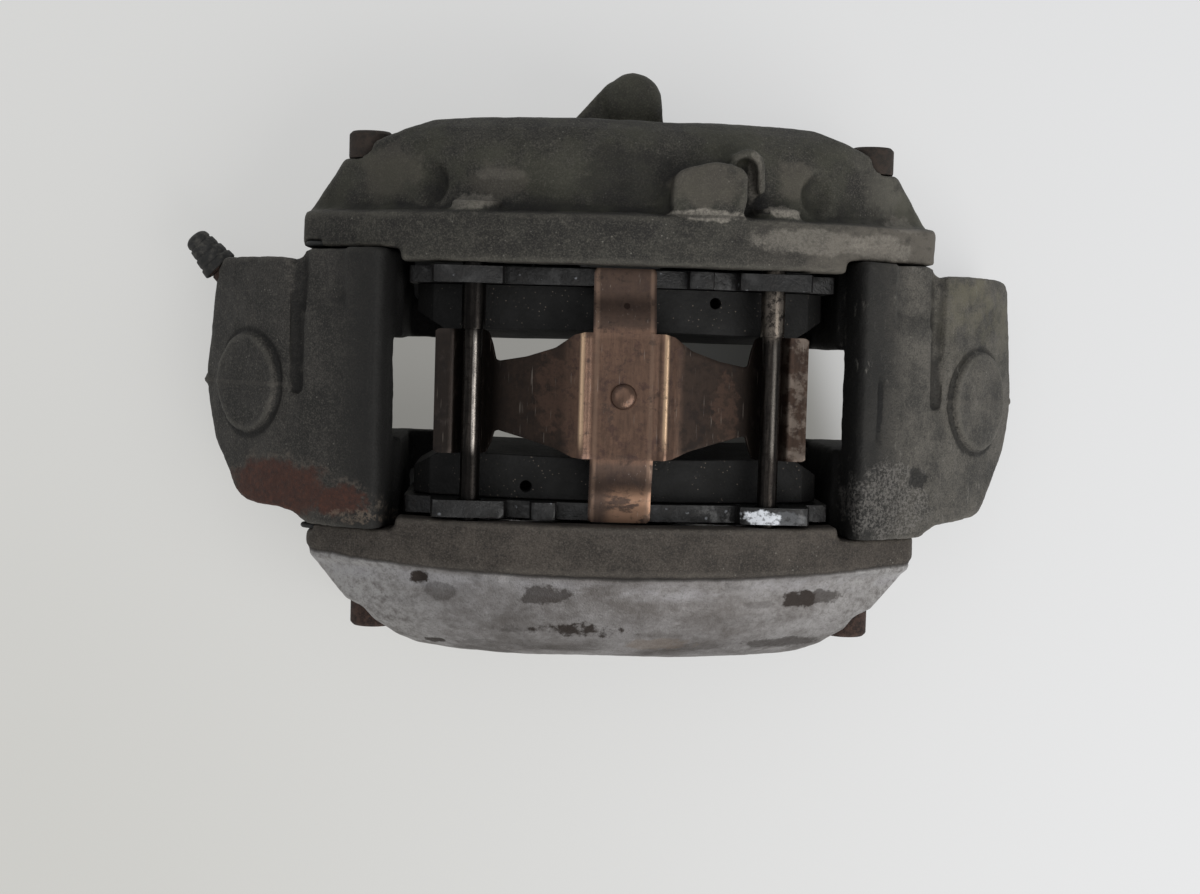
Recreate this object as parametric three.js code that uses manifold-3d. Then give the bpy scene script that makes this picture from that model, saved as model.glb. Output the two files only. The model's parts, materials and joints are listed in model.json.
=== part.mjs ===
// Four-piston fixed brake caliper for a ventilated disc, with its pads, pins and spring.
// Millimetres. X runs along the disc's edge, +Y towards the hub side (inboard), +Z away from the disc's
// centre. The caliper lies on the feet of its two iron bridges, on the plane Z = 0.
import * as THREE from 'three';
import { mergeGeometries, mergeVertices } from 'three/addons/utils/BufferGeometryUtils.js';
import Module from 'manifold-3d';

const wasm = await Module();
wasm.setup();

// ---- Driving dimensions -------------------------------------------------------------------------

const GAP = 0.3;                 // between pieces that touch
const ROUND = 24;                // facets round a piston, its bore, seal and boot

// The disc that runs through the caliper
const DISC_RADIUS = 162;
const DISC_EDGE_Z = 92;          // height of the disc's edge in the middle of the caliper
const DISC_THICKNESS = 30;
const DISC_SIDE_CLEARANCE = 3.2;
const DISC_EDGE_CLEARANCE = 3.5;

// Bridges: iron blocks over the disc's edge that join the two housings
const JOINT_Y = 50;              // half the length between the housings' joint faces
const BRIDGE_THICKNESS = 17.5;   // from the disc's clearance out
const BRIDGE_DRAFT = 3.5;        // lean of the inner wall over the disc
const BRIDGE_END_Z = 24.5;       // where the outer surface reaches the bridge's end
const ABUTMENT_PROUD = 2.5;      // walls that the pads' ends bear on
const ABUTMENT_TOP_Z = 70;
const PAD_END_CLEARANCE = 2.2;
const LUG_STEP = 3.5;            // lug's mounting face behind the joint face
const LUG_HOLE_RADIUS = 6;
const LUG_HOLE_INSET = 20;
const LUG_HOLE_Z = 11.5;
const LUG_HOLE_DEPTH = 24;
const TOE_LENGTH = 19;
const TOE_HEIGHT = 10;
const TOE_DEPTH = 15;
const FOOT_RADIUS = 4;
const VALLEY_DEPTH = 2.4;
const VALLEY_WIDTH = 5.2;
const PANEL_DEPTH = 1.6;
const PANEL_LENGTH = 21;
const PANEL_WIDTH = 19;
const RISER_RADIUS = 18.8;       // round pad where the casting's riser was cut off
const RISER_INSET = 19.5;        // from the bridge's end
const RISER_PROUD = 1.3;

// Housings: aluminium halves that hold two pistons each
const RIM_INSET = 5;             // rim's outer surface below the bridges'
const RIM_DEPTH = 12.6;
const LIP_CLEARANCE = 2.2;       // between the bridges and the lip that overhangs the pads' backs
const LIP_DEPTH = 4.8;
const LIP_HEIGHT = 14;
const ARCH_HALF = 74;
const ARCH_HEIGHT = 12;
const HOUSING_IN_HALF = 116.3;
const HOUSING_IN_DEPTH = 48.4;
const HOUSING_OUT_HALF = 112;
const HOUSING_OUT_DEPTH = 45.5;
const HOUSING_OUT_SHIFT = -0.8;  // the outboard casting's outline sits off the middle

// Pistons
const PISTON_RADIUS = 22;
const PISTON_APART = 28;         // between the two pistons of a housing
const PISTON_Z = 59;
const PISTON_LENGTH = 38;
const PISTON_WALL = 5;
const PISTON_CLEARANCE = 0.08;
const PISTON_BACK_ROOM = 4;
const BORE_BOSS_WALL = 6;
const BORE_BOSS_PROUD = 2.6;
const SEAL_WIDTH = 3.4;
const SEAL_DEPTH = 2.8;
const BOOT_WALL = 1.3;

// Pads
const PLATE_THICKNESS = 6;
const PLATE_INSET = 11.5;        // plate's top below the rim
const PAD_END_X = 76.8;
const PAD_FOOT_Z = 17;           // lowest point of the plate's ends
const EAR_RISE = 5.5;            // ears' tops above the pins' axis
const TAB_RISE = 4.5;
const LINING_INSET = 2;          // lining's outer edge inside the disc's
const LINING_HEIGHT = 50;
const LINING_TOP = 15.3;         // lining left at its outer edge
const LINING_BOTTOM = 19;        // lining left at its inner edge: worn to a taper
const LINING_WEAR_Z = 34;        // where the taper begins
const LINING_HALF = 74;
const LINING_SHOULDER_Z = 66;
const LINING_BEVEL = 8.6;        // thickness left at its ends
const LINING_BEVEL_X = 57;       // where the ends' bevels begin
const SENSOR_X = 33;             // hole for the wear sensor
const SENSOR_RADIUS = 2.1;
const SENSOR_DEPTH = 22;
const SHIM_HALF = 66;
const SHIM_THICKNESS = 0.6;

// Pad pins
const PIN_RADIUS = 3.5;
const PIN_X = 53;
const PIN_Z = 92;
const PIN_HOLE_DEPTH_OUT = 12;   // blind hole in the outboard half
const SLEEVE_WALL = 0.65;
const SLEEVE_INNER_Y = 22;

// Hold-down spring
const SHEET = 0.9;
const CROWN_DROP = 1.6;          // top of the leaf's middle below the rims
const CROWN_HALF_X = 16;
const LEAF_HALF_Y = 22;
const WAIST_HALF_Y = 12;
const LEAF_OVERHANG = 13.2;      // from the pins' axes to the leaf's ends
const STRIP_HALF_X = 11;
const RIVET_RADIUS = 4.7;

// Bolts
const BOLT_RADIUS = 5;
const BOLT_HEAD_RADIUS = 8;
const BOLT_HEAD_HEIGHT = 10;
const BOLT_SOCKET_RADIUS = 4.4;
const BOLT_Z = [54, 20];
const BOLT_IN_INSET = 11.6;      // bolts' axes from the bridges' inner walls
const BOLT_OUT_INSET = 7.5;
const BOLT_GRIP_IN = 33;         // from the joint face to under the head
const BOLT_GRIP_OUT = 28.7;
const BOLT_THREAD = 25;

// Cast pad and broken clip behind the inboard rim
const CAST_PAD_BOTTOM_Z = 80;
const CAST_PAD_TOP_Z = 105.2;
const CLIP_TOP_Z = 97.6;

// Hose boss, bleeder and crossover passage
const HOSE_BOSS_RADIUS = 10.7;
const HOSE_BOSS_X = 3.5;
const HOSE_BOSS_Y = 108;
const WEB_REACH = 23;            // of the boss's web to its left
const HOSE_BOSS_TOP_Z = 58;
const HOSE_BOSS_BOTTOM_Z = 14;
const HOSE_PORT_RADIUS = 5;
const HOSE_PORT_DEPTH = 26;
const BLEEDER_INSET = 10;
const BLEEDER_Y = 37.6;
const BLEEDER_Z = 27;
const BLEEDER_TURN = 131.7;      // degrees from +X towards +Y
const BLEEDER_THREAD_RADIUS = 4.8;
const BLEEDER_SEAT = 6.5;        // seat's distance along the screw
const CAP_LENGTH = 15.8;
const CAP_RADIUS = 6.9;          // at its foot
const CAP_TIP_RADIUS = 4.6;
const CAP_RIBS = 3;
const PASSAGE_INSET = 28;
const PASSAGE_DEPTH = 12.7;      // below the bridge's outer surface
const PASSAGE_RADIUS = 2.2;
const O_RING_RADIUS = 4.6;
const O_RING_SECTION = 1.1;

// Values worked out from them
const SLOT_HALF = DISC_THICKNESS / 2 + DISC_SIDE_CLEARANCE;
const SLOT_RADIUS = DISC_RADIUS + DISC_EDGE_CLEARANCE;
const DISC_CENTRE_Z = DISC_EDGE_Z - DISC_RADIUS;
const BRIDGE_RADIUS = SLOT_RADIUS + BRIDGE_THICKNESS;
const RIM_RADIUS = BRIDGE_RADIUS - RIM_INSET;
const PLATE_TOP_RADIUS = RIM_RADIUS - PLATE_INSET;
const LINING_TOP_RADIUS = DISC_RADIUS - LINING_INSET;
const LINING_BOTTOM_RADIUS = LINING_TOP_RADIUS - LINING_HEIGHT;
const ABUTMENT_X = PAD_END_X + PAD_END_CLEARANCE;
const BRIDGE_INNER_X = ABUTMENT_X + ABUTMENT_PROUD;
const BRIDGE_INNER_TOP_X = BRIDGE_INNER_X + BRIDGE_DRAFT;
const BRIDGE_END_X = Math.sqrt(BRIDGE_RADIUS ** 2 - (BRIDGE_END_Z - DISC_CENTRE_Z) ** 2);
const LIP_X = BRIDGE_INNER_X - LIP_CLEARANCE;
const LUG_FACE_Y = JOINT_Y - LUG_STEP;
const LUG_HOLE_X = BRIDGE_END_X - LUG_HOLE_INSET;
const PISTON_X = PISTON_RADIUS + PISTON_APART / 2;
const BOLT_IN_X = BRIDGE_INNER_X + BOLT_IN_INSET;
const BOLT_OUT_X = BRIDGE_INNER_X + BOLT_OUT_INSET;
const BLEEDER_X = BLEEDER_INSET - BRIDGE_END_X;
const PASSAGE_X = -(BRIDGE_INNER_X + PASSAGE_INSET);
const CROWN_Z = DISC_CENTRE_Z + RIM_RADIUS - CROWN_DROP;
const VALLEY_X = HOUSING_IN_HALF + 0.2;
const HOUSING_Y = JOINT_Y + GAP;
const LIP_Y = HOUSING_Y - LIP_DEPTH;
const SHIM_BACK_Y = LIP_Y - GAP;
const PLATE_BACK_Y = SHIM_BACK_Y - SHIM_THICKNESS - GAP;
const PLATE_FRONT_Y = PLATE_BACK_Y - PLATE_THICKNESS;
const PISTON_NOSE_Y = SHIM_BACK_Y + GAP;
const BORE_MOUTH_Y = HOUSING_Y - BORE_BOSS_PROUD;
const BORE_RADIUS = PISTON_RADIUS + PISTON_CLEARANCE;
const BORE_END_Y = PISTON_NOSE_Y + PISTON_LENGTH + PISTON_BACK_ROOM;
const SLEEVE_RADIUS = PIN_RADIUS + 0.08 + SLEEVE_WALL;
const PIN_BORE_RADIUS = SLEEVE_RADIUS + 0.08;
const PASSAGE_Z = arcZ(BRIDGE_RADIUS, PASSAGE_X) - PASSAGE_DEPTH;

// ---- Shape helpers ------------------------------------------------------------------------------

// Height of the circle of a given radius about the disc's centre, above the point x
function arcZ(radius, x) {
  return DISC_CENTRE_Z + Math.sqrt(radius * radius - x * x);
}

// Points on that circle from x0 to x1
function arc(radius, x0, x1, steps) {
  const points = [];
  for (let i = 0; i <= steps; i += 1) {
    const x = x0 + ((x1 - x0) * i) / steps;
    points.push([x, arcZ(radius, x)]);
  }
  return points;
}

// Closed outline through corner points; a third number on a corner rounds it with that radius
function outline(corners, steps = 4) {
  const path = new THREE.Path();
  const count = corners.length;
  corners.forEach(([x, y, radius = 0], i) => {
    const here = new THREE.Vector2(x, y);
    const before = new THREE.Vector2(...corners[(i + count - 1) % count].slice(0, 2)).sub(here);
    const after = new THREE.Vector2(...corners[(i + 1) % count].slice(0, 2)).sub(here);
    const start = here.clone().add(before.setLength(Math.min(radius, before.length() / 2)));
    const end = here.clone().add(after.setLength(Math.min(radius, after.length() / 2)));
    if (i === 0) {
      path.moveTo(start.x, start.y);
    } else {
      path.lineTo(start.x, start.y);
    }
    if (radius > 0) {
      path.quadraticCurveTo(x, y, end.x, end.y);
    }
  });
  const points = path.getPoints(steps);
  return new THREE.Shape(points);
}

function extruded(corners, depth, steps) {
  return new THREE.ExtrudeGeometry(outline(corners, steps), { depth, bevelEnabled: false });
}

// Outline in X and Z, carried along Y
function prismY(corners, y0, y1, steps) {
  const geometry = extruded(corners, y1 - y0, steps);
  return geometry.rotateX(Math.PI / 2).translate(0, y1, 0);
}

// Outline in X and Y, carried along Z
function prismZ(corners, z0, z1, steps) {
  const geometry = extruded(corners, z1 - z0, steps);
  return geometry.translate(0, 0, z0);
}

// Outline in Y and Z, carried along X
function prismX(corners, x0, x1, steps) {
  const geometry = extruded(corners, x1 - x0, steps);
  return geometry.rotateX(Math.PI / 2).rotateZ(Math.PI / 2).translate(x0, 0, 0);
}

function box(x0, x1, y0, y1, z0, z1) {
  const geometry = new THREE.BoxGeometry(x1 - x0, y1 - y0, z1 - z0);
  return geometry.translate((x0 + x1) / 2, (y0 + y1) / 2, (z0 + z1) / 2);
}

// Cylinder along Y
function rodY(radius, x, z, y0, y1, facets = 16) {
  const geometry = new THREE.CylinderGeometry(radius, radius, y1 - y0, facets);
  return geometry.translate(x, (y0 + y1) / 2, z);
}

// Cylinder along Z
function rodZ(radius, x, y, z0, z1, facets = 20) {
  const geometry = new THREE.CylinderGeometry(radius, radius, z1 - z0, facets).rotateX(Math.PI / 2);
  return geometry.translate(x, y, (z0 + z1) / 2);
}

// Solid of revolution about Y, from [radius, y] points
function turned(profile, x, z, facets = ROUND) {
  const points = profile.map(([radius, y]) => new THREE.Vector2(radius, y));
  if (profile[0][0] > 0) {
    points.push(points[0].clone());
  }
  return new THREE.LatheGeometry(points, facets).translate(x, 0, z);
}

function ellipsoid(x, y, z, rx, ry, rz) {
  return new THREE.SphereGeometry(1, 14, 8).scale(rx, ry, rz).translate(x, y, z);
}

// Skin through a row of equal outlines of [x, z] at growing y, closed at both ends; each outline runs
// along its bottom towards +X
function loft(sections) {
  const size = sections[0].points.length;
  const positions = sections.flatMap(({ y, points }) => points.flatMap(([x, z]) => [x, y, z]));
  const index = [];
  for (let row = 0; row + 1 < sections.length; row += 1) {
    for (let i = 0; i < size; i += 1) {
      const a = row * size + i;
      const b = row * size + ((i + 1) % size);
      index.push(a, a + size, b, b, a + size, b + size);
    }
  }
  const last = (sections.length - 1) * size;
  const flat = (points) => points.map(([x, z]) => new THREE.Vector2(x, z));
  const { triangulateShape } = THREE.ShapeUtils;
  triangulateShape(flat(sections[0].points), []).forEach(([a, b, c]) => index.push(a, b, c));
  triangulateShape(flat(sections.at(-1).points), []).forEach(([a, b, c]) => {
    index.push(last + c, last + b, last + a);
  });
  const geometry = new THREE.BufferGeometry();
  geometry.setAttribute('position', new THREE.Float32BufferAttribute(positions, 3));
  geometry.setIndex(index);
  return geometry;
}

// Total volume inside a closed mesh: negative when its faces point inwards
function signedVolume(geometry) {
  const position = geometry.getAttribute('position');
  const index = geometry.getIndex();
  const [a, b, c] = [new THREE.Vector3(), new THREE.Vector3(), new THREE.Vector3()];
  let sum = 0;
  for (let i = 0; i < index.count; i += 3) {
    a.fromBufferAttribute(position, index.getX(i));
    b.fromBufferAttribute(position, index.getX(i + 1));
    c.fromBufferAttribute(position, index.getX(i + 2));
    sum += a.dot(b.cross(c)) / 6;
  }
  return sum;
}

// Position-only mesh with shared vertices and faces pointing out
function cleaned(geometry) {
  const bare = new THREE.BufferGeometry();
  bare.setAttribute('position', geometry.getAttribute('position').clone());
  bare.setIndex(geometry.getIndex());
  const merged = mergeVertices(bare, 1e-4);
  const kept = [];
  const index = merged.getIndex();
  for (let i = 0; i < index.count; i += 3) {
    const [a, b, c] = [index.getX(i), index.getX(i + 1), index.getX(i + 2)];
    if (a !== b && b !== c && c !== a) {
      kept.push([a, b, c]);
    }
  }
  merged.setIndex(kept.flat());
  if (signedVolume(merged) < 0) {
    merged.setIndex(kept.flatMap(([a, b, c]) => [c, b, a]));
  }
  return merged;
}

function solid(geometry) {
  const clean = cleaned(geometry);
  const mesh = new wasm.Mesh({
    numProp: 3,
    vertProperties: new Float32Array(clean.getAttribute('position').array),
    triVerts: new Uint32Array(clean.getIndex().array),
  });
  return new wasm.Manifold(mesh);
}

function geometryOf(manifold) {
  const mesh = manifold.getMesh();
  const geometry = new THREE.BufferGeometry();
  geometry.setAttribute('position', new THREE.BufferAttribute(new Float32Array(mesh.vertProperties), 3));
  geometry.setIndex(new THREE.BufferAttribute(new Uint32Array(mesh.triVerts), 1));
  return geometry;
}

// One body from a first shape, the shapes joined to it and the shapes cut from it
function carved(first, joined = [], cut = []) {
  let body = solid(first);
  joined.forEach((shape) => { body = body.add(solid(shape)); });
  cut.forEach((shape) => { body = body.subtract(solid(shape)); });
  return geometryOf(body);
}

function common(first, ...others) {
  let body = solid(first);
  others.forEach((shape) => { body = body.intersect(solid(shape)); });
  return geometryOf(body);
}

// Copies on the other side of a middle plane
function flippedX(geometry) {
  return cleaned(geometry.clone().scale(-1, 1, 1));
}

function flippedY(geometry) {
  return cleaned(geometry.clone().scale(1, -1, 1));
}

// The same piece turned half round about Z
function turnedRound(geometry) {
  return geometry.clone().rotateZ(Math.PI);
}

// ---- Materials ----------------------------------------------------------------------------------

const FINISHES = {
  dirty_aluminium: { color: 0x3b3833, roughness: 0.85, metalness: 0.3 },
  bare_aluminium: { color: 0x8d8a85, roughness: 0.7, metalness: 0.6 },
  cast_iron: { color: 0x34322d, roughness: 0.9, metalness: 0.3 },
  rusty_steel: { color: 0x41302b, roughness: 0.85, metalness: 0.4 },
  pin_steel: { color: 0x77726c, roughness: 0.35, metalness: 0.9 },
  plate_steel: { color: 0x232325, roughness: 0.45, metalness: 0.5 },
  lining: { color: 0x3a3735, roughness: 0.95, metalness: 0.1 },
  spring_steel: { color: 0x8a6c55, roughness: 0.35, metalness: 0.9 },
  piston_chrome: { color: 0xb9b9bb, roughness: 0.2, metalness: 1 },
  rubber: { color: 0x1d1d1f, roughness: 0.8, metalness: 0 },
};

const pieces = [];

function piece(name, geometry, finish) {
  const material = new THREE.MeshStandardMaterial(FINISHES[finish]);
  const mesh = new THREE.Mesh(geometry, material);
  mesh.name = name;
  pieces.push(mesh);
}

// ---- Housings -----------------------------------------------------------------------------------

// Outline of a housing across the disc's axis: arched top on `radius`, feet at `foot`, ends at `half`
function housingSection(y, half, radius, foot) {
  const corner = 5;
  const reach = half - corner;
  const underside = [];
  const steps = 10;
  for (let i = 0; i <= steps; i += 1) {
    const x = (2 * reach * i) / steps - reach;
    const share = Math.min(1, Math.abs(x) / ARCH_HALF);
    underside.push([x, foot + ARCH_HEIGHT * (1 - share * share)]);
  }
  const top = arc(radius, half - 1.5, -half + 1.5, 16);
  const endZ = arcZ(radius, half) - 1.5;
  const endsUp = [[half, foot + corner], [half, endZ]];
  const endsDown = [[-half, endZ], [-half, foot + corner]];
  return { y, points: [...underside, ...endsUp, ...top, ...endsDown] };
}

// Stations of a housing from its joint face outwards: [depth, half length, top radius, foot height]
const INBOARD_STATIONS = [
  [0, HOUSING_IN_HALF, RIM_RADIUS, 0],
  [RIM_DEPTH, HOUSING_IN_HALF, RIM_RADIUS, 0],
  [RIM_DEPTH + 2, HOUSING_IN_HALF - 0.8, RIM_RADIUS - 12.6, 1],
  [24, HOUSING_IN_HALF - 7.8, RIM_RADIUS - 13, 3],
  [33.5, HOUSING_IN_HALF - 14.5, RIM_RADIUS - 14, 8],
  [39.5, HOUSING_IN_HALF - 25.5, RIM_RADIUS - 16, 13],
  [43.8, HOUSING_IN_HALF - 35.5, RIM_RADIUS - 20, 19],
  [HOUSING_IN_DEPTH - 1, HOUSING_IN_HALF - 45.8, RIM_RADIUS - 26, 26],
  [HOUSING_IN_DEPTH, HOUSING_IN_HALF - 54.3, RIM_RADIUS - 31, 30],
];
const OUTBOARD_STATIONS = [
  [0, HOUSING_OUT_HALF, RIM_RADIUS, 0],
  [8, HOUSING_OUT_HALF, RIM_RADIUS, 0],
  [RIM_DEPTH, HOUSING_OUT_HALF - 2.2, RIM_RADIUS, 0],
  [RIM_DEPTH + 0.7, HOUSING_OUT_HALF - 2.8, RIM_RADIUS - 3, 1],
  [20.5, HOUSING_OUT_HALF - 9.4, RIM_RADIUS - 5, 3],
  [27, HOUSING_OUT_HALF - 15.2, RIM_RADIUS - 7, 6],
  [29.4, HOUSING_OUT_HALF - 21.4, RIM_RADIUS - 8.5, 8],
  [34.5, HOUSING_OUT_HALF - 25.8, RIM_RADIUS - 12, 12],
  [39.9, HOUSING_OUT_HALF - 33.4, RIM_RADIUS - 18, 18],
  [HOUSING_OUT_DEPTH - 2.2, HOUSING_OUT_HALF - 41.5, RIM_RADIUS - 23.5, 22],
  [HOUSING_OUT_DEPTH - 0.5, HOUSING_OUT_HALF - 52.5, RIM_RADIUS - 28.5, 26],
  [HOUSING_OUT_DEPTH, HOUSING_OUT_HALF - 64, RIM_RADIUS - 33, 30],
];

// Shared by both halves, built on the +Y side: skin, lip over the pads' backs, bore bosses, bores,
// seal and boot grooves, bolt holes with spot faces, pin bores
function housingHalf(stations, shift, boltX, grip, extra, cuts) {
  const skin = loft(stations.map(([depth, half, radius, foot]) => (
    housingSection(HOUSING_Y + depth, half, radius, foot)))).translate(shift, 0, 0);
  const lip = prismY(
    [...arc(RIM_RADIUS, -LIP_X, LIP_X, 16), ...arc(RIM_RADIUS - LIP_HEIGHT, LIP_X, -LIP_X, 16)],
    LIP_Y, HOUSING_Y + 1);
  const joined = [lip];
  const removed = [];
  for (const side of [-1, 1]) {
    const x = side * PISTON_X;
    joined.push(rodY(BORE_RADIUS + BORE_BOSS_WALL, x, PISTON_Z, BORE_MOUTH_Y, HOUSING_Y + 1, ROUND));
    removed.push(boreCut(x));
    for (const z of BOLT_Z) {
      removed.push(rodY(BOLT_RADIUS + GAP, side * boltX, z, HOUSING_Y - 1, HOUSING_Y + grip + 1, 14));
      removed.push(rodY(BOLT_HEAD_RADIUS + 1.5, side * boltX, z, HOUSING_Y + grip, HOUSING_Y + 60, 16));
    }
  }
  return carved(skin, [...joined, ...extra], [...removed, ...cuts]);
}

// Room for a piston, its seal and the foot of its boot
function boreCut(x) {
  const bootRoom = bootSizes();
  const seal = sealSizes();
  return turned([
    [0, BORE_MOUTH_Y - 1],
    [bootRoom.outer + GAP, BORE_MOUTH_Y - 1],
    [bootRoom.outer + GAP, bootRoom.foot + GAP],
    [BORE_RADIUS, bootRoom.foot + GAP],
    [BORE_RADIUS, seal.front - GAP],
    [seal.outer + GAP, seal.front - GAP],
    [seal.outer + GAP, seal.back + GAP],
    [BORE_RADIUS, seal.back + GAP],
    [BORE_RADIUS, BORE_END_Y],
    [0, BORE_END_Y],
  ], x, PISTON_Z);
}

function sealSizes() {
  const front = BORE_MOUTH_Y + 10;
  return { front, back: front + SEAL_WIDTH, inner: BORE_RADIUS, outer: BORE_RADIUS + SEAL_DEPTH };
}

function bootSizes() {
  return { outer: BORE_RADIUS + 4.6, foot: BORE_MOUTH_Y + 4.5 };
}

// Pin bores: through the inboard half for driving the pins out, blind in the outboard half
function pinBores(radius, y1) {
  return [-1, 1].map((side) => rodY(radius, side * PIN_X, PIN_Z, LIP_Y - 1, y1));
}

// Mouths of the pin bores on the inboard half's outer side, and the hollows beside them
function pinMouths() {
  return [-1, 1].map((side) => (
    rodY(PIN_BORE_RADIUS + 4.7, side * PIN_X, PIN_Z - 2.6, HOUSING_Y + RIM_DEPTH - 3,
      HOUSING_Y + RIM_DEPTH + 4.6, 18)));
}

const HOLLOW_X = PIN_X + 17.5;

function shoulderHollows() {
  return [-1, 1].map((side) => (
    ellipsoid(side * HOLLOW_X, HOUSING_Y + RIM_DEPTH + 11, arcZ(RIM_RADIUS - 12, HOLLOW_X), 7.5, 8.5, 5)));
}

// Cast pad behind the rim with a slit at its root, and the broken clip stub that hooks round its corner
function castPad() {
  const y = HOUSING_Y + RIM_DEPTH;
  const front = [[14.5, y - 1.2, 3], [40.5, y - 1.2, 3]];
  const back = [[41.5, y + 17, 4], [31, y + 20, 4], [15.5, y + 16, 5]];
  return prismZ([...front, ...back], CAST_PAD_BOTTOM_Z, CAST_PAD_TOP_Z);
}

function castPadSlit() {
  const y = HOUSING_Y + RIM_DEPTH;
  return box(22, 33, y + 0.6, y + 1.8, CAST_PAD_TOP_Z - 5, CAST_PAD_TOP_Z + 5);
}

function clipStub() {
  const y = HOUSING_Y + RIM_DEPTH;
  return prismZ([
    [35, y + 22.5, 2], [43, y + 26, 3], [48, y + 22, 3], [48.4, y + 10, 1],
    [45.6, y + 9, 1], [45.4, y + 19.5, 3], [42, y + 22.5, 3], [36.5, y + 19.4, 1],
  ], CAST_PAD_BOTTOM_Z, CLIP_TOP_Z);
}

// Boss for the brake hose: closed domed top, web to its left, port opening towards the disc's centre
function hoseBoss() {
  const dome = HOSE_BOSS_TOP_Z - HOSE_BOSS_RADIUS * 0.6;
  const shaft = rodZ(HOSE_BOSS_RADIUS, HOSE_BOSS_X, HOSE_BOSS_Y, HOSE_BOSS_BOTTOM_Z, dome, 14);
  const top = ellipsoid(HOSE_BOSS_X, HOSE_BOSS_Y, dome, HOSE_BOSS_RADIUS, HOSE_BOSS_RADIUS,
    HOSE_BOSS_RADIUS * 0.6);
  const backY = HOUSING_Y + HOUSING_IN_DEPTH - 6;
  const web = prismZ([
    [HOSE_BOSS_X - WEB_REACH - 2, backY], [HOSE_BOSS_X + HOSE_BOSS_RADIUS + 1.6, backY],
    [HOSE_BOSS_X + HOSE_BOSS_RADIUS, HOSE_BOSS_Y + 1], [HOSE_BOSS_X - 8.6, HOSE_BOSS_Y + 8, 3],
    [HOSE_BOSS_X - WEB_REACH, HOUSING_Y + HOUSING_IN_DEPTH + 1, 3],
  ], HOSE_BOSS_BOTTOM_Z + 4, dome);
  return [shaft, top, web];
}

function hosePort() {
  return rodZ(HOSE_PORT_RADIUS, HOSE_BOSS_X, HOSE_BOSS_Y, HOSE_BOSS_BOTTOM_Z - 1,
    HOSE_BOSS_BOTTOM_Z + HOSE_PORT_DEPTH, 20);
}

// Seat of a crossover O-ring in a housing's joint face
function ringSeat() {
  const outer = O_RING_RADIUS + O_RING_SECTION + GAP;
  return rodY(outer, PASSAGE_X, PASSAGE_Z, HOUSING_Y - 1, HOUSING_Y + 2 * O_RING_SECTION + GAP, 14);
}

piece('inboard_housing', housingHalf(
  INBOARD_STATIONS, 0, BOLT_IN_X, BOLT_GRIP_IN,
  [...pinMouths(), castPad(), clipStub(), ...hoseBoss()],
  [...pinBores(PIN_BORE_RADIUS, HOUSING_Y + HOUSING_IN_DEPTH), ...shoulderHollows(), castPadSlit(),
    hosePort(), ringSeat()],
), 'dirty_aluminium');

piece('outboard_housing', flippedY(housingHalf(
  OUTBOARD_STATIONS, HOUSING_OUT_SHIFT, BOLT_OUT_X, BOLT_GRIP_OUT,
  [], [...pinBores(PIN_RADIUS + PISTON_CLEARANCE, HOUSING_Y + PIN_HOLE_DEPTH_OUT), ringSeat()],
)), 'bare_aluminium');

// ---- Bridges ------------------------------------------------------------------------------------

// Right-hand bridge; the left-hand one is its mirror image with the passage and the bleeder in it
function bridge(joined, cuts) {
  const end = BRIDGE_END_X;
  const acrossDisc = prismY([
    [ABUTMENT_X, 0], [ABUTMENT_X, ABUTMENT_TOP_Z], [BRIDGE_INNER_X, ABUTMENT_TOP_Z + 3],
    [BRIDGE_INNER_TOP_X, arcZ(BRIDGE_RADIUS, BRIDGE_INNER_TOP_X) + 0.5, 9],
    ...arc(BRIDGE_RADIUS, BRIDGE_INNER_TOP_X + 10, BRIDGE_END_X, 10),
    [BRIDGE_END_X, FOOT_RADIUS, FOOT_RADIUS], [BRIDGE_END_X - 2 * FOOT_RADIUS, 0],
  ], -JOINT_Y, JOINT_Y, 3);
  const seenFromOutside = prismZ([
    [ABUTMENT_X - 1, -JOINT_Y], [end - 44.5, -JOINT_Y, 1], [end - 41, 2.4 - JOINT_Y, 2],
    [end - 38, 4 - JOINT_Y], [end - 16.3, 6.1 - JOINT_Y, 6], [end - 10.9, 19.2 - JOINT_Y, 14],
    [end - 3.5, 30 - JOINT_Y, 7], [end, 0, 6],
    [end - 5.5, LUG_FACE_Y, 5],
    [HOUSING_IN_HALF + 0.6, LUG_FACE_Y, 1], [HOUSING_IN_HALF - 0.2, JOINT_Y, 1], [ABUTMENT_X - 1, JOINT_Y],
  ], -1, DISC_EDGE_Z + 50, 4);
  const block = common(acrossDisc, seenFromOutside);
  const toes = [-1, 1].map((side) => {
    const y = side * (SLOT_HALF + TOE_DEPTH / 2);
    const half = TOE_DEPTH / 2;
    return box(ABUTMENT_X - TOE_LENGTH, ABUTMENT_X + 2, y - half, y + half, 0, TOE_HEIGHT);
  });
  const removed = [
    rodYCentred(SLOT_RADIUS, 0, DISC_CENTRE_Z, SLOT_HALF, 80),
    rodY(LUG_HOLE_RADIUS, LUG_HOLE_X, LUG_HOLE_Z, LUG_FACE_Y - LUG_HOLE_DEPTH, LUG_FACE_Y + 5, 20),
    valley(),
    sunkenPanel(),
  ];
  for (const z of BOLT_Z) {
    removed.push(rodY(BOLT_RADIUS + GAP, BOLT_IN_X, z, JOINT_Y - BOLT_THREAD - 1, JOINT_Y + 1, 14));
    removed.push(rodY(BOLT_RADIUS + GAP, BOLT_OUT_X, z, -JOINT_Y - 1, -JOINT_Y + BOLT_THREAD + 1, 14));
  }
  return carved(block, [...toes, riserPad(), ...joined], [...removed, ...cuts]);
}

function rodYCentred(radius, x, z, halfLength, facets) {
  return rodY(radius, x, z, -halfLength, halfLength, facets);
}

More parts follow.
